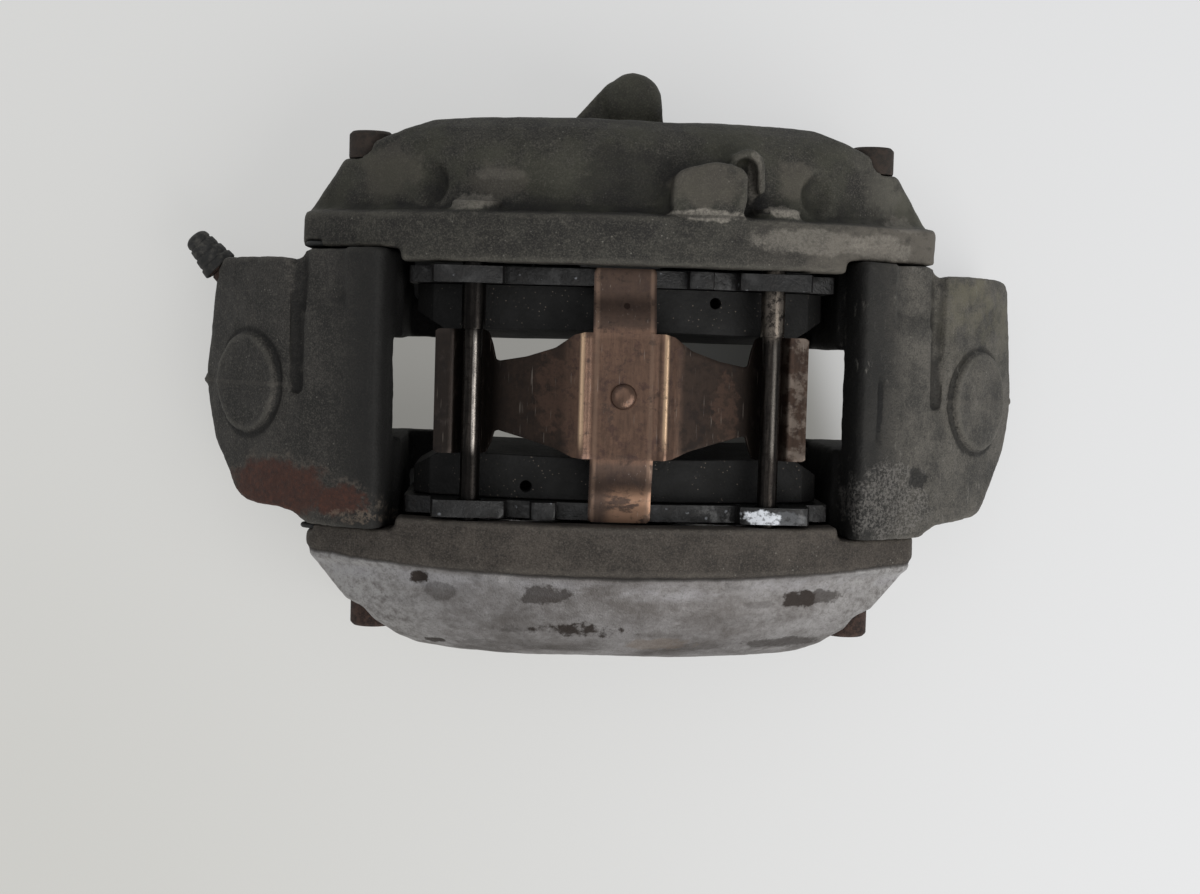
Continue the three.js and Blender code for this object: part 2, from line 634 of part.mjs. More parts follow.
// Groove in the bridge's outer surface between the bolt's cover and the lug
function valley() {
  const bottom = BRIDGE_RADIUS - VALLEY_DEPTH;
  const x = VALLEY_X;
  const z = arcZ(bottom, x);
  const lean = Math.atan2(x, z - DISC_CENTRE_Z);
  const wide = VALLEY_WIDTH / 2;
  const corners = [[-wide, -3, 2], [wide, -3, 2], [wide + 0.8, JOINT_Y + 5], [-wide - 0.8, JOINT_Y + 5]];
  const groove = prismZ(corners, 0, 12);
  return groove.rotateY(lean).translate(x, 0, z);
}

// Shallow sunken panel at the bridge's inboard end
function sunkenPanel() {
  const bottom = BRIDGE_RADIUS - PANEL_DEPTH;
  const x = VALLEY_X - PANEL_WIDTH / 2;
  const z = arcZ(bottom, x);
  const lean = Math.atan2(x, z - DISC_CENTRE_Z);
  const start = JOINT_Y - PANEL_LENGTH;
  const wide = PANEL_WIDTH / 2;
  const corners = [[-wide, start, 2], [wide, start, 2], [wide, JOINT_Y + 5], [-wide, JOINT_Y + 5]];
  const panel = prismZ(corners, 0, 12);
  return panel.rotateY(lean).translate(x, 0, z);
}

// Round pad left where the casting's riser was cut off, on the sloping outer face
function riserPad() {
  const x = BRIDGE_END_X - RISER_INSET;
  const z = arcZ(BRIDGE_RADIUS, x);
  const lean = Math.atan2(x, z - DISC_CENTRE_Z);
  const disc = rodZ(RISER_RADIUS, 0, 0, -8, RISER_PROUD, 24);
  const keep = box(ABUTMENT_X, BRIDGE_END_X - 0.4, -JOINT_Y, JOINT_Y, 12, DISC_EDGE_Z);
  return common(disc.rotateY(lean).translate(x, 0, z), keep);
}

// Frame along the bleeder screw: origin where its axis enters the left bridge, +Y out of the screw
function alongBleeder(geometry) {
  const turn = THREE.MathUtils.degToRad(BLEEDER_TURN - 90);
  return geometry.rotateZ(turn).translate(BLEEDER_X, BLEEDER_Y, BLEEDER_Z);
}

piece('right_bridge', bridge([], []), 'cast_iron');
piece('left_bridge', carved(flippedX(bridge([], [])), [], [
  rodYCentred(PASSAGE_RADIUS, PASSAGE_X, PASSAGE_Z, JOINT_Y + 1, 14),
  alongBleeder(rodY(BLEEDER_THREAD_RADIUS + GAP, 0, 0, -14, 30)),
  alongBleeder(rodY(8, 0, 0, BLEEDER_SEAT, 30, 24)),
]), 'cast_iron');

// ---- Bridge bolts -------------------------------------------------------------------------------

// Socket-head bolt on the +Y side: thread in the bridge, head on the housing's spot face
function bridgeBolt(x, z, grip) {
  const seat = HOUSING_Y + grip + GAP;
  const top = seat + BOLT_HEAD_HEIGHT;
  const body = turned([
    [0, JOINT_Y - BOLT_THREAD], [BOLT_RADIUS, JOINT_Y - BOLT_THREAD], [BOLT_RADIUS, seat],
    [BOLT_HEAD_RADIUS, seat], [BOLT_HEAD_RADIUS, top - 1.2], [BOLT_HEAD_RADIUS - 1.2, top], [0, top],
  ], x, z, 14);
  const socket = rodY(BOLT_SOCKET_RADIUS, x, z, top - 5, top + 1, 6);
  return carved(body, [], [socket]);
}

for (const [sideName, side] of [['left', -1], ['right', 1]]) {
  BOLT_Z.forEach((z, row) => {
    const level = row === 0 ? 'outer' : 'inner';
    const inboard = bridgeBolt(side * BOLT_IN_X, z, BOLT_GRIP_IN);
    const outboard = flippedY(bridgeBolt(side * BOLT_OUT_X, z, BOLT_GRIP_OUT));
    piece(`inboard_bolt_${sideName}_${level}`, inboard, 'rusty_steel');
    piece(`outboard_bolt_${sideName}_${level}`, outboard, 'rusty_steel');
  });
}

// ---- Pistons, seals and dust boots --------------------------------------------------------------

const PISTON_GROOVE_FRONT = PISTON_NOSE_Y + 2;
const PISTON_GROOVE_BACK = PISTON_GROOVE_FRONT + 2.4;
const PISTON_GROOVE_RADIUS = PISTON_RADIUS - 1.6;

function piston(x) {
  const inner = PISTON_RADIUS - PISTON_WALL;
  const back = PISTON_NOSE_Y + PISTON_LENGTH;
  return turned([
    [0, PISTON_NOSE_Y + 28], [inner, PISTON_NOSE_Y + 28], [inner, PISTON_NOSE_Y],
    [PISTON_RADIUS - 0.6, PISTON_NOSE_Y],
    [PISTON_RADIUS - 0.6, PISTON_GROOVE_FRONT], [PISTON_GROOVE_RADIUS, PISTON_GROOVE_FRONT],
    [PISTON_GROOVE_RADIUS, PISTON_GROOVE_BACK], [PISTON_RADIUS, PISTON_GROOVE_BACK],
    [PISTON_RADIUS, back - 1.5], [PISTON_RADIUS - 1.5, back], [0, back],
  ], x, PISTON_Z);
}

function pistonSeal(x) {
  const { front, back, inner, outer } = sealSizes();
  return turned([[inner, front], [outer, front], [outer, back], [inner, back]], x, PISTON_Z);
}

// Folded ring: its bead sits in the piston's groove, its foot in the bore's mouth
function dustBoot(x) {
  const { outer, foot } = bootSizes();
  const bead = PISTON_GROOVE_RADIUS + GAP;
  const front = PISTON_GROOVE_FRONT + GAP;
  const back = PISTON_GROOVE_BACK - GAP;
  const fold = PISTON_RADIUS + 1.6;
  return turned([
    [bead, front], [fold, front - 0.7], [fold + BOOT_WALL, BORE_MOUTH_Y + 0.3], [outer, BORE_MOUTH_Y + 0.3],
    [outer, foot], [outer - BOOT_WALL, foot], [outer - BOOT_WALL, BORE_MOUTH_Y + 2], [bead, back],
  ], x, PISTON_Z);
}

for (const [halfName, placed] of [['inboard', (g) => cleaned(g)], ['outboard', (g) => flippedY(g)]]) {
  for (const [sideName, side] of [['left', -1], ['right', 1]]) {
    const x = side * PISTON_X;
    piece(`${halfName}_piston_${sideName}`, placed(piston(x)), 'piston_chrome');
    piece(`${halfName}_piston_seal_${sideName}`, placed(pistonSeal(x)), 'rubber');
    piece(`${halfName}_dust_boot_${sideName}`, placed(dustBoot(x)), 'rubber');
  }
}

// ---- Pads ---------------------------------------------------------------------------------------

const EARS = [[-PIN_X - 14.8, 10.6 - PIN_X], [PIN_X - 13, PIN_X + 13.4]];
const TAB = [22.2, 31.2];
const SHOULDER_X = 66;
const SHOULDER_Z = 80;

// Backing plate of the inboard pad: arched body, two ears for the pins, one marking tab
function backingPlate() {
  const body = prismY([
    ...arc(LINING_BOTTOM_RADIUS - 3, -62, 62, 10), [PAD_END_X - 6, PAD_FOOT_Z - 2],
    [PAD_END_X, PAD_FOOT_Z, 2], [PAD_END_X, SHOULDER_Z, 2], [SHOULDER_X, SHOULDER_Z + 2],
    ...arc(PLATE_TOP_RADIUS, SHOULDER_X - 2, 2 - SHOULDER_X, 12), [-SHOULDER_X, SHOULDER_Z + 2],
    [-PAD_END_X, SHOULDER_Z, 2], [-PAD_END_X, PAD_FOOT_Z, 2], [-PAD_END_X + 6, PAD_FOOT_Z - 2],
  ], PLATE_FRONT_Y, PLATE_BACK_Y, 2);
  const earTop = PIN_Z + EAR_RISE;
  const ears = EARS.map(([x0, x1]) => (
    prismY([[x0 - 1, SHOULDER_Z - 5], [x1 + 1, SHOULDER_Z - 5], [x1, earTop, 3], [x0, earTop, 3]],
      PLATE_FRONT_Y, PLATE_BACK_Y, 2)));
  const tabTop = arcZ(PLATE_TOP_RADIUS, TAB[0]) + TAB_RISE;
  const tab = prismY([[TAB[0] - 1, SHOULDER_Z], [TAB[1] + 1, SHOULDER_Z], [TAB[1], tabTop, 1.5],
    [TAB[0], tabTop, 1.5]], PLATE_FRONT_Y, PLATE_BACK_Y, 2);
  const holes = [-1, 1].map((side) => (
    rodY(PIN_BORE_RADIUS + 0.35, side * PIN_X, PIN_Z, PLATE_FRONT_Y - 1, PLATE_BACK_Y + 1)));
  return carved(body, [...ears, tab], holes);
}

// Friction lining: worn thinner at its outer edge, ends bevelled, a wear-sensor hole
function frictionLining() {
  const back = PLATE_FRONT_Y - GAP;
  const topZ = arcZ(LINING_TOP_RADIUS, 0);
  const bottomZ = 12;
  const face = prismY([
    ...arc(LINING_BOTTOM_RADIUS, -60, 60, 8), [LINING_HALF, PAD_FOOT_Z + 2], [LINING_HALF, LINING_SHOULDER_Z],
    ...arc(LINING_TOP_RADIUS, 68, -68, 10), [-LINING_HALF, LINING_SHOULDER_Z], [-LINING_HALF, PAD_FOOT_Z + 2],
  ], -5, back);
  const taper = prismX([
    [back, bottomZ - 2], [back - LINING_BOTTOM, bottomZ - 2], [back - LINING_BOTTOM, LINING_WEAR_Z],
    [back - LINING_TOP, topZ], [back - LINING_TOP, topZ + 5], [back, topZ + 5],
  ], -PAD_END_X, PAD_END_X);
  const end = LINING_HALF + 2;
  const bevels = prismZ([
    [-end, back], [-end, back - LINING_BEVEL], [-LINING_BEVEL_X, back - LINING_BOTTOM - 1],
    [LINING_BEVEL_X, back - LINING_BOTTOM - 1], [end, back - LINING_BEVEL], [end, back],
  ], 0, 120);
  const lining = common(face, taper, bevels);
  const sensor = rodZ(SENSOR_RADIUS, SENSOR_X, back - 4.4, topZ - SENSOR_DEPTH, topZ + 5, 14);
  return carved(lining, [], [sensor]);
}

// Thin damping shim between the plate and the pistons
function shim() {
  const back = SHIM_BACK_Y;
  return prismY([
    ...arc(LINING_BOTTOM_RADIUS + 1, -58, 58, 8), [SHIM_HALF, 24, 3], [SHIM_HALF, 72, 3],
    ...arc(LINING_TOP_RADIUS - 5, 60, -60, 8), [-SHIM_HALF, 72, 3], [-SHIM_HALF, 24, 3],
  ], back - SHIM_THICKNESS, back, 2);
}

piece('inboard_backing_plate', backingPlate(), 'plate_steel');
piece('inboard_lining', frictionLining(), 'lining');
piece('inboard_shim', cleaned(shim()), 'plate_steel');
piece('outboard_backing_plate', turnedRound(backingPlate()), 'plate_steel');
piece('outboard_lining', turnedRound(frictionLining()), 'lining');
piece('outboard_shim', cleaned(turnedRound(shim())), 'plate_steel');

// ---- Pad pins -----------------------------------------------------------------------------------

const PIN_IN_END = HOUSING_Y + RIM_DEPTH + 1.5;
const PIN_OUT_END = -(HOUSING_Y + PIN_HOLE_DEPTH_OUT - 1);

function padPin(x) {
  return turned([
    [0, PIN_OUT_END], [PIN_RADIUS - 1, PIN_OUT_END], [PIN_RADIUS, PIN_OUT_END + 1.5],
    [PIN_RADIUS, PIN_IN_END - 0.8], [PIN_RADIUS - 0.8, PIN_IN_END], [0, PIN_IN_END],
  ], x, PIN_Z, 16);
}

// Split spring sleeve that grips the pin and holds it in the inboard half
function pinSleeve(x) {
  const inner = PIN_RADIUS + 0.08;
  const end = HOUSING_Y + RIM_DEPTH - 1;
  const tube = turned([[inner, SLEEVE_INNER_Y], [SLEEVE_RADIUS - 0.2, SLEEVE_INNER_Y],
    [SLEEVE_RADIUS, SLEEVE_INNER_Y + 0.8], [SLEEVE_RADIUS, end], [inner, end]], x, PIN_Z, 16);
  const split = box(x - 0.5, x + 0.5, SLEEVE_INNER_Y - 1, end + 1, PIN_Z - 6, PIN_Z - 2);
  return carved(tube, [], [split]);
}

for (const [sideName, side] of [['left', -1], ['right', 1]]) {
  piece(`${sideName}_pad_pin`, cleaned(padPin(side * PIN_X)), 'pin_steel');
  piece(`${sideName}_pin_sleeve`, pinSleeve(side * PIN_X), 'pin_steel');
}

// ---- Hold-down spring ---------------------------------------------------------------------------

// Sheet of one thickness below a chain of [a, b] points
function sheetOutline(top) {
  const below = [];
  for (let i = top.length - 1; i >= 0; i -= 1) {
    const before = top[Math.max(0, i - 1)];
    const after = top[Math.min(top.length - 1, i + 1)];
    const run = new THREE.Vector2(after[0] - before[0], after[1] - before[1]).normalize();
    below.push([top[i][0] + run.y * SHEET, top[i][1] - run.x * SHEET]);
  }
  return [...top, ...below];
}

// Leaf from pin to pin: raised middle with a fold at each side, wings that dip, pass under the pins in a
// trough and rise again outside them
function springLeaf() {
  const under = PIN_Z - PIN_RADIUS - GAP;
  const half = [
    [0, CROWN_Z], [CROWN_HALF_X - 4, CROWN_Z], [CROWN_HALF_X - 2.5, CROWN_Z + 0.9],
    [CROWN_HALF_X - 0.5, CROWN_Z + 0.9], [CROWN_HALF_X + 1.5, CROWN_Z - 1.2],
    [PIN_X - 23, under + 11.6], [PIN_X - 13, under + 6.4], [PIN_X - 9, under + 3.6],
    [PIN_X - 5.8, under + 0.8], [PIN_X - 3.5, under - 1.1], [PIN_X, under - 1.3],
    [PIN_X + 3.4, under - 0.6], [PIN_X + 5.4, under + 2.2], [PIN_X + 7.2, under + 3.6],
    [PIN_X + LEAF_OVERHANG, under + 3.8],
  ];
  const top = [...half.slice(1).reverse().map(([x, z]) => [-x, z]), ...half];
  const profile = prismY(sheetOutline(top), -40, 40);
  const w = LEAF_HALF_Y;
  const quarter = [[CROWN_HALF_X - 3, w], [CROWN_HALF_X + 1, w - 0.6], [PIN_X - 9, WAIST_HALF_Y],
    [PIN_X - 6.6, w - 3], [PIN_X - 4, w, 1], [PIN_X + LEAF_OVERHANG + 1, w, 2]];
  const right = [...quarter, ...quarter.slice().reverse().map(([x, y, r]) => [x, -y, r])];
  const left = right.map(([x, y, r]) => [-x, y, r]).reverse();
  const plan = prismZ([...right, ...left], 60, 130, 3);
  const leaf = common(profile, plan);
  return carved(leaf, [], [rodZ(RIVET_RADIUS * 0.5 + GAP, 0, 0, 90, 120, 12)]);
}

const STRIP_CENTRE_Z = CROWN_Z - SHEET - GAP;

// Strip across the leaf that presses on the pads' tops
function springStrip() {
  const endZ = DISC_CENTRE_Z + PLATE_TOP_RADIUS + GAP + SHEET + 0.3;
  const half = [[0, STRIP_CENTRE_Z], [18, STRIP_CENTRE_Z], [26, STRIP_CENTRE_Z - 1], [36, endZ + 0.3],
    [LIP_Y - 0.8, endZ]];
  const top = [...half.slice(1).reverse().map(([y, z]) => [-y, z]), ...half];
  const strip = prismX(sheetOutline(top), -STRIP_HALF_X, STRIP_HALF_X);
  return carved(strip, [], [
    rodZ(RIVET_RADIUS * 0.5 + GAP, 0, 0, 90, 120, 12),
    rodZ(1, 1, 29, 90, 120, 8),
  ]);
}

// Domed rivet through the leaf and the strip
function springRivet() {
  const shank = RIVET_RADIUS * 0.5;
  const seat = CROWN_Z + GAP;
  const under = STRIP_CENTRE_Z - SHEET - GAP;
  const dome = [];
  const steps = 3;
  for (let i = 0; i <= steps; i += 1) {
    const angle = (i / steps) * (Math.PI / 2);
    dome.push([RIVET_RADIUS * Math.cos(angle), seat + 0.3 + 1.7 * Math.sin(angle)]);
  }
  dome[steps][0] = 0;
  const profile = [
    [0, under - 1.4], [RIVET_RADIUS * 0.8, under - 1.2], [RIVET_RADIUS * 0.9, under], [shank, under],
    [shank, seat], [RIVET_RADIUS, seat], ...dome];
  return cleaned(turned(profile, 0, 0, 14).rotateX(Math.PI / 2));
}

piece('spring_leaf', springLeaf(), 'spring_steel');
piece('spring_strip', springStrip(), 'spring_steel');
piece('spring_rivet', springRivet(), 'spring_steel');

// ---- Bleeder and crossover seals ----------------------------------------------------------------

const HEX_RADIUS = 5.6;
const HEX_TOP = BLEEDER_SEAT + GAP + 4;
const NIPPLE_RADIUS = 3.4;
const NIPPLE_NECK = 2.8;
const NIPPLE_TOP = BLEEDER_SEAT + CAP_LENGTH - 2.6;

function bleederScrew() {
  const stem = turned([
    [0, -12], [1.5, -12], [BLEEDER_THREAD_RADIUS, -8.5], [BLEEDER_THREAD_RADIUS, BLEEDER_SEAT - 0.5],
    [4, BLEEDER_SEAT], [4, HEX_TOP + 0.6], [NIPPLE_NECK, HEX_TOP + 1.4], [NIPPLE_NECK, NIPPLE_TOP - 4.5],
    [NIPPLE_RADIUS, NIPPLE_TOP - 4], [NIPPLE_RADIUS - 0.5, NIPPLE_TOP], [0, NIPPLE_TOP],
  ], 0, 0, 12);
  const hex = rodY(HEX_RADIUS, 0, 0, BLEEDER_SEAT + GAP, HEX_TOP, 6);
  return carved(alongBleeder(stem), [alongBleeder(hex)], []);
}

// Ribbed rubber cap pushed over the bleeder's nipple and hexagon
function bleederCap() {
  const foot = BLEEDER_SEAT + 2 * GAP;
  const tip = foot + CAP_LENGTH;
  const pitch = (CAP_LENGTH - 3.6) / CAP_RIBS;
  const slope = (CAP_RADIUS - CAP_TIP_RADIUS) / CAP_RIBS;
  const outer = [];
  for (let i = 0; i < CAP_RIBS; i += 1) {
    const start = foot + i * pitch;
    const radius = CAP_RADIUS - slope * i;
    outer.push([radius, start + 0.2], [radius - slope * 0.6, start + pitch * 0.8],
      [radius - slope * 0.6 - 0.6, start + pitch * 0.9]);
  }
  const room = NIPPLE_RADIUS + 0.35;
  const profile = [
    [HEX_RADIUS + GAP, foot], ...outer, [CAP_TIP_RADIUS, tip - 3.2], [CAP_TIP_RADIUS - 0.7, tip - 1],
    [CAP_TIP_RADIUS / 2, tip], [0, tip], [0, NIPPLE_TOP + GAP], [room, NIPPLE_TOP + GAP],
    [room, HEX_TOP + GAP + 2], [HEX_RADIUS + GAP, HEX_TOP + GAP],
  ];
  return cleaned(alongBleeder(new THREE.LatheGeometry(
    [...profile, profile[0]].map(([radius, y]) => new THREE.Vector2(radius, y)), 16)));
}

function crossoverRing() {
  const ring = new THREE.TorusGeometry(O_RING_RADIUS, O_RING_SECTION, 6, 14).rotateX(Math.PI / 2);
  return cleaned(ring.translate(PASSAGE_X, HOUSING_Y + O_RING_SECTION, PASSAGE_Z));
}

piece('bleeder_screw', bleederScrew(), 'rusty_steel');
piece('bleeder_cap', bleederCap(), 'rubber');
piece('inboard_crossover_ring', crossoverRing(), 'rubber');
piece('outboard_crossover_ring', flippedY(crossoverRing()), 'rubber');

// ---- Assembly: the origin goes under the middle of the whole caliper ------------------------------

const whole = mergeGeometries(pieces.map((mesh) => {
  const points = new THREE.BufferGeometry();
  points.setAttribute('position', mesh.geometry.getAttribute('position'));
  return points;
}));
whole.computeBoundingBox();
const middle = whole.boundingBox.getCenter(new THREE.Vector3());
const caliper = new THREE.Group();
for (const mesh of pieces) {
  mesh.position.set(-middle.x, -middle.y, -whole.boundingBox.min.z);
  mesh.geometry.computeVertexNormals();
  caliper.add(mesh);
}

export default caliper;
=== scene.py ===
import json
import math

import bpy
import bmesh
import numpy as np
from mathutils import Matrix, Vector


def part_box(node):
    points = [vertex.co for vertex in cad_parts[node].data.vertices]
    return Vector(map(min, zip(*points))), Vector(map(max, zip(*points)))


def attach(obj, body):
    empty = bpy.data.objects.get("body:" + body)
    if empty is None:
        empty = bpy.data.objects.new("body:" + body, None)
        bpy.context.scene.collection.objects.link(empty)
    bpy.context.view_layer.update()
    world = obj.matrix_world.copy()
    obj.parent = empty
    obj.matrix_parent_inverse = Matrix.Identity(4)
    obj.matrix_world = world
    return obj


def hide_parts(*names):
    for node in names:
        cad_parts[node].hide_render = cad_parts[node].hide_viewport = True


bl_info = {
    "name": "Brake caliper",
    "version": (1, 0, 0),
    "blender": (4, 5, 0),
    "location": "3D View > Sidebar > Caliper",
    "description": "Finished surfaces of a fixed brake caliper, around its packed solids",
    "category": "Object",
}

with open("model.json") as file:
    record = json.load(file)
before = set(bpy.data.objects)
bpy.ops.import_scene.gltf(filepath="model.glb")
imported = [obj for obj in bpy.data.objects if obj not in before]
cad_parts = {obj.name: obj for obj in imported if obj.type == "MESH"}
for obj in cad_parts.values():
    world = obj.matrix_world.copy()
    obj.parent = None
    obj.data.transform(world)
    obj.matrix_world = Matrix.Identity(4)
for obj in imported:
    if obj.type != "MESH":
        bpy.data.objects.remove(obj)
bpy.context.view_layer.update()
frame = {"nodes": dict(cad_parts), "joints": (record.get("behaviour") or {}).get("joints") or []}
NODES = frame["nodes"]
MM = 0.001


def middle(node):
    """Centre of a solid's box, in metres."""
    low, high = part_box(node)
    return np.array((low + high) / 2)


# The caliper's own centre: halfway between the pad pins, halfway across the bridges, level with the feet
CENTRE = np.array([
    (middle("left_pad_pin")[0] + middle("right_pad_pin")[0]) / 2,
    middle("left_bridge")[1],
    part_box("left_bridge")[0].z,
])
HALVES = (("inboard", 1), ("outboard", -1))
SIDES = (("left", -1), ("right", 1))


def placed(points):
    """Points in millimetres about the caliper's centre, in metres in the frame."""
    return np.asarray(points, float) * MM + CENTRE


# ---- Shader sums ----


class Value:
    """One socket of a finish. Sums on it add Math nodes."""

    def __init__(self, finish, socket):
        self.finish = finish
        self.socket = socket

    def math(self, operation, first, second=0.0, clamp=False):
        settings = {"operation": operation, "use_clamp": clamp}
        return self.finish.add("ShaderNodeMath", settings, {0: first, 1: second})

    def __add__(self, other):
        return self.math("ADD", self, other)

    __radd__ = __add__

    def __sub__(self, other):
        return self.math("SUBTRACT", self, other)

    def __rsub__(self, other):
        return self.math("SUBTRACT", other, self)

    def __mul__(self, other):
        return self.math("MULTIPLY", self, other)

    __rmul__ = __mul__

    def most(self, other):
        return self.math("MAXIMUM", self, other)

    def size(self):
        return self.math("ABSOLUTE", self)

    def held(self):
        return self.math("ADD", self, 0.0, clamp=True)

    def band(self, low, high):
        """0 below low, 1 above high, smooth between."""
        return self.finish.add(
            "ShaderNodeMapRange", {"interpolation_type": "SMOOTHSTEP"},
            {"Value": self, "From Min": low, "From Max": high})

    def near(self, low, high):
        """1 within low of zero, 0 past high, smooth between."""
        return 1 - self.size().band(low, high)


def colour(red, green, blue):
    """Linear colour from display values of 0 to 255."""
    shown = np.array([red, green, blue]) / 255
    linear = np.where(shown <= 0.04045, shown / 12.92, ((shown + 0.055) / 1.055) ** 2.4)
    return (*(float(v) for v in linear), 1.0)


class Finish:
    """A material whose patterns are read from Object coordinates, in millimetres about CENTRE."""

    def __init__(self, name):
        self.material = bpy.data.materials.new(name)
        self.material.use_nodes = True
        self.tree = self.material.node_tree
        self.tree.nodes.clear()
        self.shader = self.tree.nodes.new("ShaderNodeBsdfPrincipled")
        out = self.tree.nodes.new("ShaderNodeOutputMaterial")
        self.tree.links.new(self.shader.outputs["BSDF"], out.inputs["Surface"])
        place = self.add("ShaderNodeTexCoord", {}, {}, "Object")
        self.place = self.vector("MULTIPLY_ADD", place, (1 / MM,) * 3, tuple(-CENTRE / MM))
        self.x = self.part(0)
        self.y = self.part(1)
        self.z = self.part(2)

    def add(self, kind, settings, inputs, output=0):
        """Node of a kind, its settings set first, then its sockets. Gives one of its outputs."""
        node = self.tree.nodes.new(kind)
        for key, value in settings.items():
            setattr(node, key, value)
        for key, value in inputs.items():
            self.feed(node.inputs[key], value)
        return Value(self, node.outputs[output])

    def feed(self, socket, value):
        if isinstance(value, Value):
            self.tree.links.new(value.socket, socket)
        else:
            socket.default_value = value

    def vector(self, operation, *values):
        return self.add("ShaderNodeVectorMath", {"operation": operation}, dict(enumerate(values)))

    def part(self, index):
        return self.add("ShaderNodeSeparateXYZ", {}, {0: self.place}, index)

    def noise(self, size, detail, rough, shift=0.0, stretch=(1, 1, 1)):
        """Cloudy noise of about a size in millimetres, from 0 to 1."""
        scale = tuple(1 / (size * s) for s in stretch)
        vector = self.vector("MULTIPLY_ADD", self.place, scale, (shift, shift * 1.7, shift * 2.3))
        return self.add("ShaderNodeTexNoise", {}, {
            "Vector": vector, "Scale": 1.0, "Detail": detail, "Roughness": rough})

    def cells(self, size, shift=0.0):
        """Distance to scattered points about a size apart, in sizes."""
        vector = self.vector("MULTIPLY_ADD", self.place, (1 / size,) * 3, (shift,) * 3)
        return self.add("ShaderNodeTexVoronoi", {}, {"Vector": vector, "Scale": 1.0})

    def spot(self, centre, reach, ragged=0.35, size=6.0):
        """1 well inside an ellipsoid, 0 outside it, with a ragged edge."""
        scale = tuple(1 / r for r in reach)
        shift = tuple(-c / r for c, r in zip(centre, reach))
        away = self.vector("MULTIPLY_ADD", self.place, scale, shift)
        length = self.add("ShaderNodeVectorMath", {"operation": "LENGTH"}, {0: away}, 1)
        rough = (self.noise(size, 5, 0.65, centre[0] * 0.13) - 0.5) * (4 * ragged)
        return 1 - (length + rough).band(0.75, 1.05)

    def spots(self, table, ragged, size, shade):
        """Lays a shade on spots, each of a centre, a reach and a share."""
        for centre, reach, share in table:
            self.paint(self.spot(centre, reach, ragged, size) * share, shade)

    def blend(self, share, first, second):
        """Mix of two shades, each a Value, a setting's colour or display values of 0 to 255."""
        first, second = (colour(*s) if isinstance(s, tuple) and len(s) == 3 else s for s in (first, second))
        return self.add("ShaderNodeMix", {"data_type": "RGBA"}, {0: share, 6: first, 7: second}, 2)

    def paint(self, share, shade):
        """Lays a shade over the base colour."""
        self.base = self.blend(share, self.base, shade)

    def attribute(self, name):
        return self.add("ShaderNodeAttribute", {"attribute_name": name}, {}, "Fac")

    def done(self, rough, metal=0.0, height=None, depth=0.3, coat=0.0):
        """Feeds the shader. depth is how many millimetres the height's 0 to 1 stands for."""
        for key, value in (("Base Color", self.base), ("Roughness", rough), ("Metallic", metal),
                           ("Coat Weight", coat)):
            self.feed(self.shader.inputs[key], value)
        self.shader.inputs["Coat Roughness"].default_value = 0.12
        if height is not None:
            bump = self.add("ShaderNodeBump", {}, {"Strength": 1.0, "Distance": depth * MM, "Height": height})
            self.feed(self.shader.inputs["Normal"], bump)
        return self.material


# ---- Mesh makers ----


def lattice_noise(points, size, seed=0):
    """Random numbers at the corners of a cubic lattice, blended along smooth steps, from -1 to 1."""
    scaled = points / size + seed * 7.31
    base = np.floor(scaled).astype(np.int64)
    part = scaled - base
    part = part * part * (3 - 2 * part)
    total = np.zeros(len(points))
    for corner in np.ndindex(2, 2, 2):
        spot = base + corner
        mixed = (spot[:, 0] * 73856093) ^ (spot[:, 1] * 19349663) ^ (spot[:, 2] * 83492791)
        mixed = (mixed * 2654435761 + seed * 40503) & 0xFFFFFFFF
        mixed = ((mixed ^ (mixed >> 15)) * 2246822519) & 0xFFFFFFFF
        weight = np.prod(np.where(corner, part, 1 - part), axis=1)
        total += weight * (mixed / 0xFFFFFFFF)
    return total * 2 - 1


def step(values, low, high):
    """0 below low, 1 above high, smooth between."""
    share = np.clip((values - low) / (high - low), 0, 1)
    return share * share * (3 - 2 * share)


def rounded(corners, radii=0.0, steps=4, closed=False):
    """Chain of corners, each replaced by a quadratic curve that begins and ends a radius away from it."""
    c = np.asarray(corners, float)
    r = np.broadcast_to(np.asarray(radii, float), len(c))[:, None]
    back = np.roll(c, 1, axis=0) - c
    ahead = np.roll(c, -1, axis=0) - c
    if not closed:
        back[0] = 0
        ahead[-1] = 0
    far_back = np.maximum(np.linalg.norm(back, axis=1, keepdims=True), 1e-9)
    far_ahead = np.maximum(np.linalg.norm(ahead, axis=1, keepdims=True), 1e-9)
    start = (c + back / far_back * np.minimum(r, far_back / 2))[:, None]
    end = (c + ahead / far_ahead * np.minimum(r, far_ahead / 2))[:, None]
    t = np.linspace(0, 1, steps + 1)[None, :, None]
    curve = (1 - t) ** 2 * start + 2 * t * (1 - t) * c[:, None] + t * t * end
    return curve.reshape(-1, c.shape[1])


def grid_faces(rows, columns, wrap_rows=False, wrap_columns=False):
    """Quads of a grid of rows by columns, joined up at the wrapped edges."""
    i = np.arange(rows if wrap_rows else rows - 1)[:, None]
    j = np.arange(columns if wrap_columns else columns - 1)[None, :]
    i2 = (i + 1) % rows
    j2 = (j + 1) % columns
    quads = np.stack(np.broadcast_arrays(
        i * columns + j, i * columns + j2, i2 * columns + j2, i2 * columns + j), axis=-1)
    return quads.reshape(-1, 4)


def linked(name, data):
    """Object for a mesh, a lamp or a lens, linked to the scene."""
    item = bpy.data.objects.new(name, data)
    bpy.context.scene.collection.objects.link(item)
    return item


